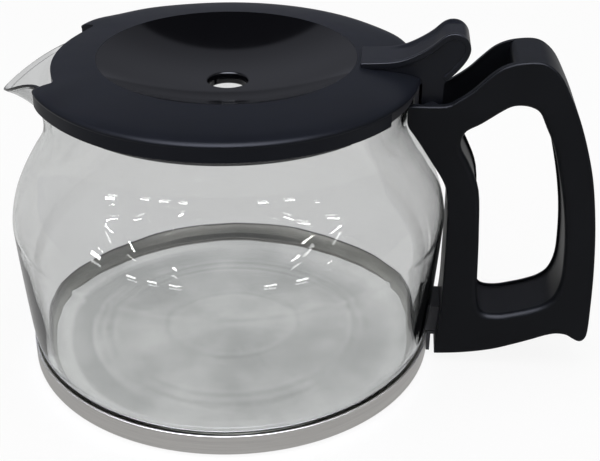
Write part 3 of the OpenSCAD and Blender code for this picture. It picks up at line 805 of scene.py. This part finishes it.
# The top line in shares along and up, then the thumb recess, its ends counted along the line's points
LEVER_SHARES = [(-0.95, 0.11), (-0.75, 0.13), (-0.54, 0.17), (-0.37, 0.26), (-0.2, 0.43),
                (-0.03, 0.66), (0.24, 0.915), (0.48, 1), (0.72, 0.965), (0.91, 0.82), (1, 0.6),
                (0.95, 0.37), (0.8, 0.13), (0.58, -0.12), (0.38, -0.3)]
ACROSS = 20
RECESS_BORDER = 1.5 * MM
RECESS_SOFT = 1.3 * MM
RECESS_DEPTH = 0.7 * MM
RECESS_START, RECESS_START_RUN = 9, 12
RECESS_END, RECESS_END_RUN = 52, 7
LEVER_RIM = 0.85 * MM
WEB_SINK = 0.9 * MM


def lever_run_places(lid, plan, steps):
    """The lever's top line, from its root on the lid over the crest to its curled end."""
    hx, hz = plan.hinge
    crest = hz + lid.lever_rise

    def place(u, v):
        x = hx + u * ((hx - lid.dish_r) if u < 0 else lid.lever_reach)
        return (x, plan.dish_z + v * (crest - plan.dish_z))

    return smooth_run([place(u, v) for u, v in LEVER_SHARES], steps)


def lever_half_width(lid, plan, x):
    """Half width of the lever's plate at a place along it."""
    tip_x = plan.hinge[0] + lid.lever_reach
    t = max(0.0, min(1.0, (x - lid.dish_r) / (tip_x - lid.dish_r)))
    return lid.lever_root_half_w + t * (lid.lever_half_w - lid.lever_root_half_w)


class CARAFE_OT_lever(bpy.types.Operator):
    """Shapes the thumb lever: a curled plate with a thumb recess on a narrower web"""

    bl_idname = "carafe.lever"
    bl_label = "Thumb lever"

    def execute(self, context):
        jug, lid, handle = sizes()
        plan = LidPlan(jug, lid)
        run = lever_run_places(lid, plan, 6)
        n = len(run)
        start_clean()
        bpy.ops.mesh.primitive_grid_add(x_subdivisions=n - 1, y_subdivisions=ACROSS, size=0.02)
        piece = bpy.context.object
        piece.name = piece.data.name = "thumb_lever_moulding"
        below = moved_run(run, lid.lever_plate_t)
        for index, corner in enumerate(piece.data.vertices):
            k, j = index % n, index // n
            x, z = run[k]
            half_w = lever_half_width(lid, plan, x) - 0.02 * MM
            y = half_w * (2 * j / ACROSS - 1)
            inside = min((half_w - abs(y) - RECESS_BORDER) / RECESS_SOFT,
                         (k - RECESS_START) / RECESS_START_RUN, (RECESS_END - k) / RECESS_END_RUN)
            sink = RECESS_DEPTH * smooth_step(inside)
            way = ((below[k][0] - x) / lid.lever_plate_t, (below[k][1] - z) / lid.lever_plate_t)
            corner.co = (x + way[0] * sink, y, z + way[1] * sink)
        self.dress(piece, lid, handle, plan, run)
        return {"FINISHED"}

    def dress(self, piece, lid, handle, plan, run):
        """Gives the plate its thickness, joins the web and knuckle to it and cuts the bores."""
        edit_all(piece, outward)
        top = max(piece.data.polygons, key=lambda face: face.center.z)
        if top.normal.z < 0:
            edit_all(piece, bpy.ops.mesh.flip_normals)
        apply_modifier(piece, "SOLIDIFY", thickness=lid.lever_plate_t - CLEAR, offset=-1.0,
                       use_even_offset=True)
        apply_modifier(piece, "BEVEL", width=LEVER_RIM, segments=5, limit_method="ANGLE",
                       angle_limit=math.radians(60))
        hx, hz = plan.hinge
        back, front = hx + lid.knuckle_r, hx - lid.knuckle_r + 0.2 * MM
        inner = moved_run(run, WEB_SINK)[3:-3]
        outline = inner + [(back, plan.base_z - GAP), (back, hz), (front, hz), (front, plan.base_z - GAP),
                           (hx - lid.knuckle_r * 1.2, plan.base_z), (inner[0][0], plan.base_z)]
        web = plate("web", outline[::-1], lid.lever_half_w)
        root = lid.lever_root_half_w - lid.lever_overhang
        tip = lid.lever_half_w - lid.lever_overhang
        tip_x = hx + lid.lever_reach
        full = lid.lever_half_w - 0.25 * MM
        half_wedge = [(lid.dish_r, root), (hx, tip), (tip_x - 3 * MM, full), (tip_x * 1.5, full)]
        wedge = half_wedge[:1] + [(x, -y) for x, y in half_wedge] + half_wedge[:0:-1]
        combine(web, pillar("web_plan", wedge, 0.05, 0.15), "INTERSECT")
        combine(piece, web, "UNION")
        knuckle_half_w = handle.half_w - handle.cheek_t - GAP
        circle = arc((hx, hz), lid.knuckle_r, 0, 352.5, 47)
        combine(piece, plate("knuckle", circle, knuckle_half_w), "UNION")
        bore = arc((hx, hz), lid.pin_r + 0.05 * MM, 0, 350, 35)
        combine(piece, plate("bore", bore, handle.half_w * 2))
        seat = moved_run(plan.top, -CLEAR)
        room_in, room_low = lid.dish_r - lid.wall_t, plan.base_z - CLEAR
        room = lathe("lid_room", [(room_in, plan.dish_z + CLEAR)] + seat + [
            (lid.outer_r + CLEAR, room_low), (room_in, room_low)])
        combine(piece, room)
        finish_piece(piece, LID, lever_material(), "thumb_lever")


# Shader groups

COLOUR = "NodeSocketColor"
NUMBER = "NodeSocketFloat"


def feed(tree, node, values):
    """Gives a node's inputs, by name or number, plain values or the outputs of other nodes."""
    for name, value in values.items():
        if isinstance(value, bpy.types.NodeSocket):
            tree.links.new(value, node.inputs[name])
        else:
            node.inputs[name].default_value = value


def add_node(tree, kind, values=None, out=0, **settings):
    """Adds a shader node, sets it, feeds its inputs and gives one of its outputs."""
    node = tree.nodes.new("ShaderNode" + kind)
    for name, value in settings.items():
        setattr(node, name, value)
    feed(tree, node, values or {})
    return node.outputs[out]


def add_math(tree, way, *values):
    """A Math node on sockets or numbers."""
    return add_node(tree, "Math", dict(enumerate(values)), operation=way)


def add_noise(tree, vector, scale, detail, roughness):
    """A Noise Texture on a vector, scale a number or a socket."""
    values = {"Vector": vector, "Scale": scale, "Detail": detail, "Roughness": roughness}
    return add_node(tree, "TexNoise", values, "Fac")


def add_blend(tree, factor, a, b, way="MIX"):
    """A mix of two colours."""
    values = {"Factor": factor, "A": a, "B": b}
    return add_node(tree, "Mix", values, "Result", data_type="RGBA", blend_type=way)


def add_grey(tree, level):
    """A grey of a level."""
    return add_node(tree, "CombineColor", dict.fromkeys(range(3), level))


def add_place(tree):
    """The place of a point in the object's own frame."""
    return add_node(tree, "TexCoord", out="Object")


def add_parts(tree, vector):
    """The x, y and z of a vector."""
    return add_node(tree, "SeparateXYZ", {0: vector}).node.outputs


def add_radius(tree, x, y):
    """The distance from the jug's axis."""
    return add_math(tree, "SQRT", add_math(tree, "MULTIPLY_ADD", x, x, add_math(tree, "MULTIPLY", y, y)))


def add_range(tree, value, low, high, top=1.0, bottom=0.0, kind="SMOOTHSTEP"):
    """A step of a value from low to high, which may run downwards."""
    values = {"Value": value, "From Min": low, "From Max": high, "To Min": bottom, "To Max": top}
    return add_node(tree, "MapRange", values, "Result", interpolation_type=kind)


def add_ramp(tree, value, stops):
    """A curve through stops of (place, level)."""
    colour = add_node(tree, "ValToRGB", {"Fac": value}, "Color")
    ramp = colour.node.color_ramp
    ramp.interpolation = "CARDINAL"
    for spot, level in stops:
        ramp.elements.new(spot).color = (level, level, level, 1)
    ramp.elements.remove(ramp.elements[0])
    ramp.elements.remove(ramp.elements[len(ramp.elements) - 1])
    return colour


def add_bump(tree, height, distance, strength):
    """A normal from a height."""
    return add_node(tree, "Bump", {"Height": height, "Distance": distance, "Strength": strength})


def new_group(name, inputs, outputs):
    """An empty shader group with named sockets."""
    group = bpy.data.node_groups.new(name, "ShaderNodeTree")
    for socket, kind, value in inputs:
        made = group.interface.new_socket(socket, in_out="INPUT", socket_type=kind)
        made.default_value = value
    for socket, kind in outputs:
        group.interface.new_socket(socket, in_out="OUTPUT", socket_type=kind)
    return group, group.nodes.new("NodeGroupInput").outputs, group.nodes.new("NodeGroupOutput")


def mould_texture_group():
    """Fine grain of a plastic moulding: height, roughness and a shade of the base colour."""
    name = "moulded_grain"
    if name in bpy.data.node_groups:
        return bpy.data.node_groups[name]
    group, given, result = new_group(
        name,
        [("Colour", COLOUR, (0.02, 0.02, 0.02, 1)), ("Grain Scale", NUMBER, 2600.0),
         ("Base Roughness", NUMBER, 0.42), ("Variation", NUMBER, 0.12)],
        [("Colour", COLOUR), ("Roughness", NUMBER), ("Height", NUMBER)])
    place = add_place(group)
    grain = add_noise(group, place, given["Grain Scale"], 3.0, 0.6)
    cloud = add_noise(group, place, 55.0, 3.0, 0.55)
    handled = add_noise(group, place, 160.0, 2.0, 0.5)
    spread = add_math(group, "MULTIPLY", add_math(group, "SUBTRACT", cloud, 0.5), given["Variation"])
    rough = add_math(group, "ADD", given["Base Roughness"], spread)
    rough = add_math(group, "ADD", rough, add_math(group, "MULTIPLY_ADD", handled, 0.05, -0.025))
    level = add_grey(group, add_math(group, "MULTIPLY_ADD", cloud, 0.8, 0.6))
    shade = add_blend(group, 0.35, given["Colour"], level, "MULTIPLY")
    feed(group, result, {"Colour": shade, "Roughness": rough, "Height": grain})
    return group


def round_brush_group():
    """Brush lines that run round the jug's axis: height, roughness and a lightness."""
    name = "round_brush"
    if name in bpy.data.node_groups:
        return bpy.data.node_groups[name]
    group, given, result = new_group(
        name,
        [("Lines", NUMBER, 5200.0), ("Base Roughness", NUMBER, 0.3)],
        [("Light", NUMBER), ("Roughness", NUMBER), ("Height", NUMBER)])
    x, y, z = add_parts(group, add_place(group))
    turn = add_math(group, "MULTIPLY", add_math(group, "ARCTAN2", y, x), 0.0016)
    wrapped = add_node(group, "CombineXYZ", {"X": turn, "Y": z, "Z": add_radius(group, x, y)})
    lines = add_noise(group, wrapped, given["Lines"], 3.0, 0.65)
    broad = add_noise(group, wrapped, 900.0, 2.0, 0.5)
    rough = add_math(group, "MULTIPLY_ADD", lines, 0.18, given["Base Roughness"])
    light = add_math(group, "MULTIPLY_ADD", lines, 0.3, add_math(group, "MULTIPLY_ADD", broad, 0.25, 0.72))
    feed(group, result, {"Light": light, "Roughness": rough, "Height": lines})
    return group


# Materials

GRAIN_DEPTH = 0.06 * MM
BRUSH_DEPTH = 0.02 * MM
WAVE_DEPTH = 0.6 * MM
# Painted shade in the gap at the foot band's top edge: the seal's colour turns dark between these heights
UNSHADED_UP_TO = 7.45 * MM
GAP_SHADED_FROM = 7.8 * MM
GAP_SHADE_COLOUR = (0.012, 0.011, 0.012, 1)

# Noises, and the places in metres between which painted shade darkens the heel, floor and spout of the glass
CLOUDS = (26.0, 3.0, 0.5)
FINE_CLOUDS = (95.0, 2.0, 0.5)
WAVES = (38.0, 2.0, 0.45)
HEEL_SHADE_FROM, HEEL_SHADE_TO = (0.0515, 0.0535), (0.0615, 0.0595)
HEEL_SHADE_LEFT = (0.005, -0.045, 0.75)
FLOOR_SHADE_BELOW = (0.0085, 0.0045)
SPOUT_SHADE_BEYOND = (-0.0605, -0.0645, 0.62)
SPOUT_SHADE_ABOVE = (0.078, 0.086)

# How dark the floor is painted along its radius, with painted rings for what the pressed rings refract and
# without them
RAMP_RADIUS = 0.07
FLOOR_SHADE_RINGS = [(0.0, 0.56), (0.28, 0.54), (0.325, 0.36), (0.345, 0.82), (0.37, 0.56), (0.45, 0.62),
               (0.6, 0.7), (0.625, 0.35), (0.645, 0.95), (0.67, 0.76), (0.685, 0.4), (0.705, 0.85),
               (0.735, 0.6), (0.8, 0.4), (0.9, 0.2), (1.0, 0.05)]
FLOOR_SHADE_PLAIN = [(0.0, 0.54), (0.3, 0.54), (0.335, 0.6), (0.5, 0.58), (0.64, 0.64), (0.7, 0.66), (0.78, 0.45),
               (0.84, 0.3), (0.9, 0.2), (1.0, 0.05)]


def finishes():
    """The colours that a user may change."""
    return bpy.context.scene.carafe_finish


def new_material(name):
    """A material with one Principled shader, and that shader."""
    material = bpy.data.materials.new(name)
    material.use_nodes = True
    return material, material.node_tree.nodes["Principled BSDF"]


def moulding(name, colour, rough, scale, bump, specular=0.5, variation=0.12):
    """A moulded plastic finish."""
    if name in bpy.data.materials:
        return bpy.data.materials[name]
    material, shader = new_material(name)
    tree = material.node_tree
    values = {"Colour": colour, "Grain Scale": scale, "Base Roughness": rough, "Variation": variation}
    grain = add_node(tree, "Group", values, node_tree=mould_texture_group()).node.outputs
    feed(tree, shader, {"Base Color": grain["Colour"], "Roughness": grain["Roughness"],
                        "Specular IOR Level": specular,
                        "Normal": add_bump(tree, grain["Height"], GRAIN_DEPTH, bump)})
    return material


def handle_material():
    """Satin black moulding of the handle."""
    return moulding("satin_handle", finishes().handle, 0.38, 3000.0, 0.20, 0.1)


def liner_material():
    """Satin strip in the finger window."""
    return moulding("satin_strip", finishes().liner, 0.36, 2400.0, 0.12, 0.12)


def lid_material():
    """Satin blue black moulding of the lid's ring."""
    return moulding("satin_lid", finishes().lid, 0.34, 3200.0, 0.16, 0.1)


def lever_material():
    """The lid's moulding where thumbs have made it a little shinier."""
    return moulding("satin_lever", finishes().lid, 0.33, 3200.0, 0.18, 0.18)


def dish_material():
    """Polished black moulding of the dish."""
    return moulding("gloss_dish", finishes().dish, 0.09, 900.0, 0.01, 0.26, 0.03)


def coated_material():
    """Black coated steel of the neck ring and the brackets."""
    return moulding("coated_steel", finishes().coated, 0.38, 1800.0, 0.1, 0.2)


def cushion_material():
    """Matt black silicone of the foot cushion."""
    return moulding("silicone_cushion", finishes().coated, 0.55, 1600.0, 0.15)


def seal_material():
    """The band's shiny back, seen through clear silicone, with painted shade along its top edge where it
    meets the glass.
    """
    name = "silicone_seal"
    if name in bpy.data.materials:
        return bpy.data.materials[name]
    material = moulding(name, finishes().seal, 0.4, 1200.0, 0.1, 0.3)
    tree = material.node_tree
    shader = tree.nodes["Principled BSDF"]
    unshaded = shader.inputs["Base Color"].links[0].from_socket
    height = add_parts(tree, add_place(tree))["Z"]
    # Painted shade: the seal's top edge, in the gap under the glass, is coloured dark
    gap_shade = add_range(tree, height, UNSHADED_UP_TO, GAP_SHADED_FROM, kind="LINEAR")
    feed(tree, shader, {"Metallic": 1.0, "Base Color": add_blend(tree, gap_shade, unshaded, GAP_SHADE_COLOUR)})
    return material


def brushed(name, colour, lines, rough, bump):
    """A steel finish with brush lines round the jug's axis."""
    if name in bpy.data.materials:
        return bpy.data.materials[name]
    material, shader = new_material(name)
    tree = material.node_tree
    values = {"Lines": lines, "Base Roughness": rough}
    brush = add_node(tree, "Group", values, node_tree=round_brush_group()).node.outputs
    shade = add_blend(tree, 1.0, colour, add_grey(tree, brush["Light"]), "MULTIPLY")
    feed(tree, shader, {"Base Color": shade, "Roughness": brush["Roughness"], "Metallic": 1.0,
                        "Anisotropic": 0.5, "Normal": add_bump(tree, brush["Height"], BRUSH_DEPTH, bump)})
    return material


def steel_material():
    """Brushed steel of the foot band."""
    return brushed("brushed_foot_band", finishes().steel, 5200.0, 0.26, 0.35)


def fastener_material():
    """Turned steel of the screws, nuts and pin."""
    return brushed("turned_fasteners", finishes().fastener, 2600.0, 0.3, 0.2)


def glass_shade_mask(tree, place):
    """How much darker a point of the glass is painted: painted shade of the table under its thick floor, with
    painted rings for what the pressed rings refract, painted shade on the left of the heel, and painted shade
    on the spout.
    """
    x, y, z = add_parts(tree, place)
    radius = add_radius(tree, x, y)
    place_in_ramp = add_math(tree, "MULTIPLY", radius, 1 / RAMP_RADIUS)
    clouds = add_noise(tree, place, *CLOUDS)
    fine = add_noise(tree, place, *FINE_CLOUDS)
    broken = add_math(tree, "MULTIPLY_ADD", y, 11.0, add_math(tree, "MULTIPLY_ADD", fine, 2.4, -0.75))
    rings = add_blend(tree, broken, add_ramp(tree, place_in_ramp, FLOOR_SHADE_PLAIN),
                      add_ramp(tree, place_in_ramp, FLOOR_SHADE_RINGS))
    # Painted shade: a ring at the heel, darker on the left side
    heel = add_math(tree, "MULTIPLY", add_range(tree, radius, *HEEL_SHADE_FROM), add_range(tree, radius, *HEEL_SHADE_TO))
    heel = add_math(tree, "MULTIPLY", heel, add_range(tree, x, *HEEL_SHADE_LEFT))
    cloud = add_math(tree, "MULTIPLY_ADD", clouds, 2.4, -1.2)
    cloud = add_math(tree, "ADD", cloud, add_math(tree, "MULTIPLY_ADD", fine, 0.5, -0.25))
    mask = add_math(tree, "ADD", rings, add_math(tree, "ADD", cloud, heel))
    mask = add_math(tree, "MULTIPLY", mask, add_range(tree, z, *FLOOR_SHADE_BELOW))
    # Painted shade: the spout is coloured greyer than the clear wall
    spout = add_math(tree, "MULTIPLY", add_range(tree, x, *SPOUT_SHADE_BEYOND), add_range(tree, z, *SPOUT_SHADE_ABOVE))
    return add_math(tree, "MAXIMUM", mask, spout)


def glass_material():
    """Blown glass with faint waves, painted shade on its pressed floor, heel and spout, and a little green
    where it is thick.
    """
    name = "blown_glass"
    if name in bpy.data.materials:
        return bpy.data.materials[name]
    material, shader = new_material(name)
    tree = material.node_tree
    place = add_place(tree)
    stretched = add_node(tree, "Mapping", {"Vector": place, "Scale": (1.0, 1.0, 0.35)})
    waves = add_noise(tree, stretched, *WAVES)
    shade = add_blend(tree, glass_shade_mask(tree, place), finishes().glass, finishes().glass_floor_shade)
    feed(tree, shader, {"Base Color": shade, "Roughness": 0.0, "IOR": 1.47, "Transmission Weight": 1.0,
                        "Normal": add_bump(tree, waves, WAVE_DEPTH, 0.35)})
    depth = add_node(tree, "VolumeAbsorption", {"Color": finishes().glass_depth, "Density": 40.0})
    feed(tree, tree.nodes["Material Output"], {"Volume": depth})
    return material


class CARAFE_OT_fittings(bpy.types.Operator):
    """Gives the carried-over metal and silicone parts their finishes"""

    bl_idname = "carafe.fittings"
    bl_label = "Fittings"

    def execute(self, context):
        for nodes, material in (
            (["base_seal"], seal_material()),
            (["foot_bracket", "neck_ring", "neck_bracket"], coated_material()),
            (["foot_cushion"], cushion_material()),
            (["head_screw", "head_nut", "foot_screw", "foot_nut", "hinge_pin"], fastener_material()),
        ):
            for node in nodes:
                paint(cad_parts[node], material)
        return {"FINISHED"}


# The stage

CARD_WAY = (-0.08, 0.29, 0.955)
CARD_ANGLE = 27.0
CARD_BLUR = 1.2
CARD_LEVEL = 0.12
GLOW_WAY = (0.0, -0.5, 0.87)
GLOW_ANGLES = (42.0, 14.0)
GLOW_LEVEL = 14.0
SKY_COLOUR = (0.93, 0.96, 1.1, 1)
SKY_LEVEL = 0.43
SKY_SLOPE = -0.14
WHITE = (1, 1, 1, 1)
FLOOR_WHITE = (0.93, 0.93, 0.93, 1)
FLOOR_DROP = 0.2 * MM
LAMPS = {
    "top_lamp": ((0.0, -0.1, 1.2), (0, 0, 0.05), (0.9, 0.9), 5.0),
    "left_lamp": ((-0.9, -0.5, 0.7), (0, 0, 0.06), (0.5, 0.7), 2.5),
    "right_lamp": ((0.9, -0.3, 0.8), (0.06, 0, 0.06), (0.4, 0.6), 2.0),
}

# Lamps that only gloss and glass show: near tubes look straight down, far ones at the jug
TUBE_PLACES = [(-2.1, -2.05), (-2.4, -1.3), (-1.2, -3.2), (-4.2, -2.3), (1.9, -2.1), (1.75, -1.4),
               (2.3, -0.9), (4.0, -2.4)]
FAR_PLACES = [(-5.6, -6.3), (-4.2, -7.2), (-5.9, -3.0), (-2.6, -7.6), (5.2, -5.6), (3.4, -6.6)]
TUBE_HEIGHT = 1.3
TUBE_SIZE = (0.09, 0.36)
TUBE_POWER = 3.6
FAR_SIZE = (0.75, 0.22)
FAR_POWER = 14.0


def seen_white(tree, plain, white, mirrored):
    """Mixes a plain shader with white for camera and transmission rays, and one for glossy rays."""
    rays = add_node(tree, "LightPath").node.outputs
    seen = add_math(tree, "MAXIMUM", rays["Is Camera Ray"], rays["Is Transmission Ray"])
    glossy = add_node(tree, "MixShader", {0: rays["Is Glossy Ray"], 1: plain, 2: mirrored})
    return add_node(tree, "MixShader", {0: seen, 1: glossy, 2: white})


def add_spot(tree, way, middle, outer, inner, top, bottom=0.0):
    """A soft round spot in the sky about a direction, its angles in degrees."""
    values = {0: way, 1: Vector(middle).normalized()}
    nearness = add_node(tree, "VectorMath", values, "Value", operation="DOT_PRODUCT")
    return add_range(tree, nearness, *(math.cos(math.radians(a)) for a in (outer, inner)), top, bottom)


def mirrored_sky(tree):
    """The studio that gloss shows: darker to the right and at the horizon, with a dark card overhead.

    Surfaces that blur what they mirror also show a soft bright spot high up behind the viewer.
    """
    way = add_node(tree, "TexCoord", out="Generated")
    x, _, z = add_parts(tree, way)
    sky = add_math(tree, "MULTIPLY_ADD", x, SKY_SLOPE, SKY_LEVEL)
    rise = add_range(tree, add_math(tree, "ABSOLUTE", z), 0.1, 0.6, 0.6)
    sky = add_math(tree, "MULTIPLY", sky, add_math(tree, "ADD", rise, 0.4))
    card = add_spot(tree, way, CARD_WAY, CARD_ANGLE + CARD_BLUR, CARD_ANGLE - CARD_BLUR, CARD_LEVEL, 1.0)
    sky = add_math(tree, "MULTIPLY", sky, card)
    glow = add_spot(tree, way, GLOW_WAY, *GLOW_ANGLES, GLOW_LEVEL)
    blurred = add_math(tree, "SUBTRACT", 1.0, add_node(tree, "LightPath", out="Is Singular Ray"))
    level = add_math(tree, "MULTIPLY_ADD", glow, blurred, sky)
    return add_node(tree, "Background", {"Color": SKY_COLOUR, "Strength": level})


def light_world(strength):
    """A white surrounding that lights plain surfaces softly."""
    world = bpy.data.worlds.new("studio_white")
    bpy.context.scene.world = world
    world.use_nodes = True
    tree = world.node_tree
    plain = tree.nodes["Background"]
    feed(tree, plain, {"Color": WHITE, "Strength": strength})
    white = add_node(tree, "Background", {"Color": WHITE, "Strength": 1.0})
    shown = seen_white(tree, plain.outputs[0], white, mirrored_sky(tree))
    feed(tree, tree.nodes["World Output"], {"Surface": shown})


def lay_floor():
    """A pale floor that keeps the object's shadow."""
    start_clean()
    place = (0, 0, -FLOOR_DROP)
    bpy.ops.mesh.primitive_grid_add(x_subdivisions=4, y_subdivisions=4, size=8.0, location=place)
    floor = bpy.context.object
    floor.name = floor.data.name = "studio_floor"
    material, shader = new_material("floor_white")
    tree = material.node_tree
    feed(tree, shader, {"Base Color": FLOOR_WHITE, "Roughness": 0.9, "Specular IOR Level": 0.0})
    glow = add_node(tree, "Emission", {"Strength": 1.0})
    pale = add_node(tree, "MixShader", {0: 0.9, 1: shader.outputs[0], 2: glow})
    dim = add_node(tree, "Emission", {"Strength": 0.48})
    shown = seen_white(tree, shader.outputs[0], pale, dim)
    feed(tree, tree.nodes["Material Output"], {"Surface": shown})
    floor.data.materials.append(material)


def hang_lamp(name, place, aim, size, power):
    """A soft rectangular lamp that looks at a point and that gloss and glass don't show."""
    lamp = bpy.data.lights.new(name, "AREA")
    lamp.shape = "RECTANGLE"
    lamp.size, lamp.size_y = size
    lamp.energy = power
    holder = bpy.data.objects.new(name, lamp)
    bpy.context.scene.collection.objects.link(holder)
    holder.location = place
    holder.rotation_euler = (Vector(aim) - Vector(place)).to_track_quat("-Z", "Y").to_euler()
    holder.visible_glossy = holder.visible_transmission = False
    return holder


def place_camera(studio):
    """The camera at the photograph's viewing angle."""
    data = bpy.data.cameras.new("photo_camera")
    data.lens = studio.lens
    data.sensor_width = 36.0
    camera = bpy.data.objects.new("photo_camera", data)
    bpy.context.scene.collection.objects.link(camera)
    heading, pitch, roll = (math.radians(a) for a in (studio.heading, studio.pitch, studio.roll))
    forward = Vector((math.cos(heading) * math.cos(pitch), math.sin(heading) * math.cos(pitch),
                      -math.sin(pitch)))
    level = Vector((math.sin(heading), -math.cos(heading), 0))
    above = level.cross(forward)
    right = level * math.cos(roll) + above * math.sin(roll)
    up = above * math.cos(roll) - level * math.sin(roll)
    turn = Matrix((right, up, -forward)).transposed()
    camera.matrix_world = Matrix.Translation(Vector(studio.camera_place)) @ turn.to_4x4()
    bpy.context.scene.camera = camera


class CARAFE_OT_stage(bpy.types.Operator):
    """Sets the camera, the pale floor and the soft studio light"""

    bl_idname = "carafe.stage"
    bl_label = "Stage"

    def execute(self, context):
        studio = context.scene.carafe_studio
        place_camera(studio)
        light_world(studio.fill)
        lay_floor()
        for name, settings in LAMPS.items():
            hang_lamp(name, *settings)
        tubes = [((x, y, TUBE_HEIGHT), (x, y, 0), TUBE_SIZE, TUBE_POWER) for x, y in TUBE_PLACES]
        tubes += [((x, y, TUBE_HEIGHT), (0, 0, 0), FAR_SIZE, FAR_POWER) for x, y in FAR_PLACES]
        for index, settings in enumerate(tubes):
            tube = hang_lamp("tube_lamp_%d" % index, *settings)
            tube.visible_glossy = tube.visible_transmission = True
            tube.visible_diffuse = tube.visible_camera = False
        context.scene.view_settings.view_transform = "Standard"
        return {"FINISHED"}


# The panel


class CARAFE_PT_builder(bpy.types.Panel):
    """Lists the jug's sizes, finishes and building steps."""

    bl_idname = "CARAFE_PT_builder"
    bl_label = "Coffee Jug"
    bl_space_type = "VIEW_3D"
    bl_region_type = "UI"
    bl_category = "Coffee Jug"

    def draw(self, context):
        for step in STEPS:
            self.layout.operator(step.bl_idname)
        for group in GROUPS:
            values = getattr(context.scene, group)
            box = self.layout.box()
            for name in values.__annotations__:
                box.prop(values, name)


STEPS = (CARAFE_OT_glass, CARAFE_OT_foot, CARAFE_OT_handle, CARAFE_OT_lid, CARAFE_OT_lever,
         CARAFE_OT_fittings, CARAFE_OT_stage)
GROUPS = {"carafe_jug": JugSizes, "carafe_lid": LidSizes, "carafe_handle": HandleSizes,
          "carafe_finish": Finishes, "carafe_studio": Studio}
CLASSES = (*GROUPS.values(), *STEPS, CARAFE_PT_builder)


def register():
    """Makes the groups, steps and panel known to Blender."""
    for item in CLASSES:
        bpy.utils.register_class(item)
    for name, group in GROUPS.items():
        setattr(bpy.types.Scene, name, bpy.props.PointerProperty(type=group))


def unregister():
    """Takes them away again."""
    for name in GROUPS:
        delattr(bpy.types.Scene, name)
    for item in reversed(CLASSES):
        bpy.utils.unregister_class(item)


def main():
    """Builds the whole jug on its frame."""
    register()
    bpy.ops.carafe.glass()
    bpy.ops.carafe.foot()
    bpy.ops.carafe.handle()
    bpy.ops.carafe.lid()
    bpy.ops.carafe.lever()
    bpy.ops.carafe.fittings()
    bpy.ops.carafe.stage()


if __name__ == "__main__":
    main()
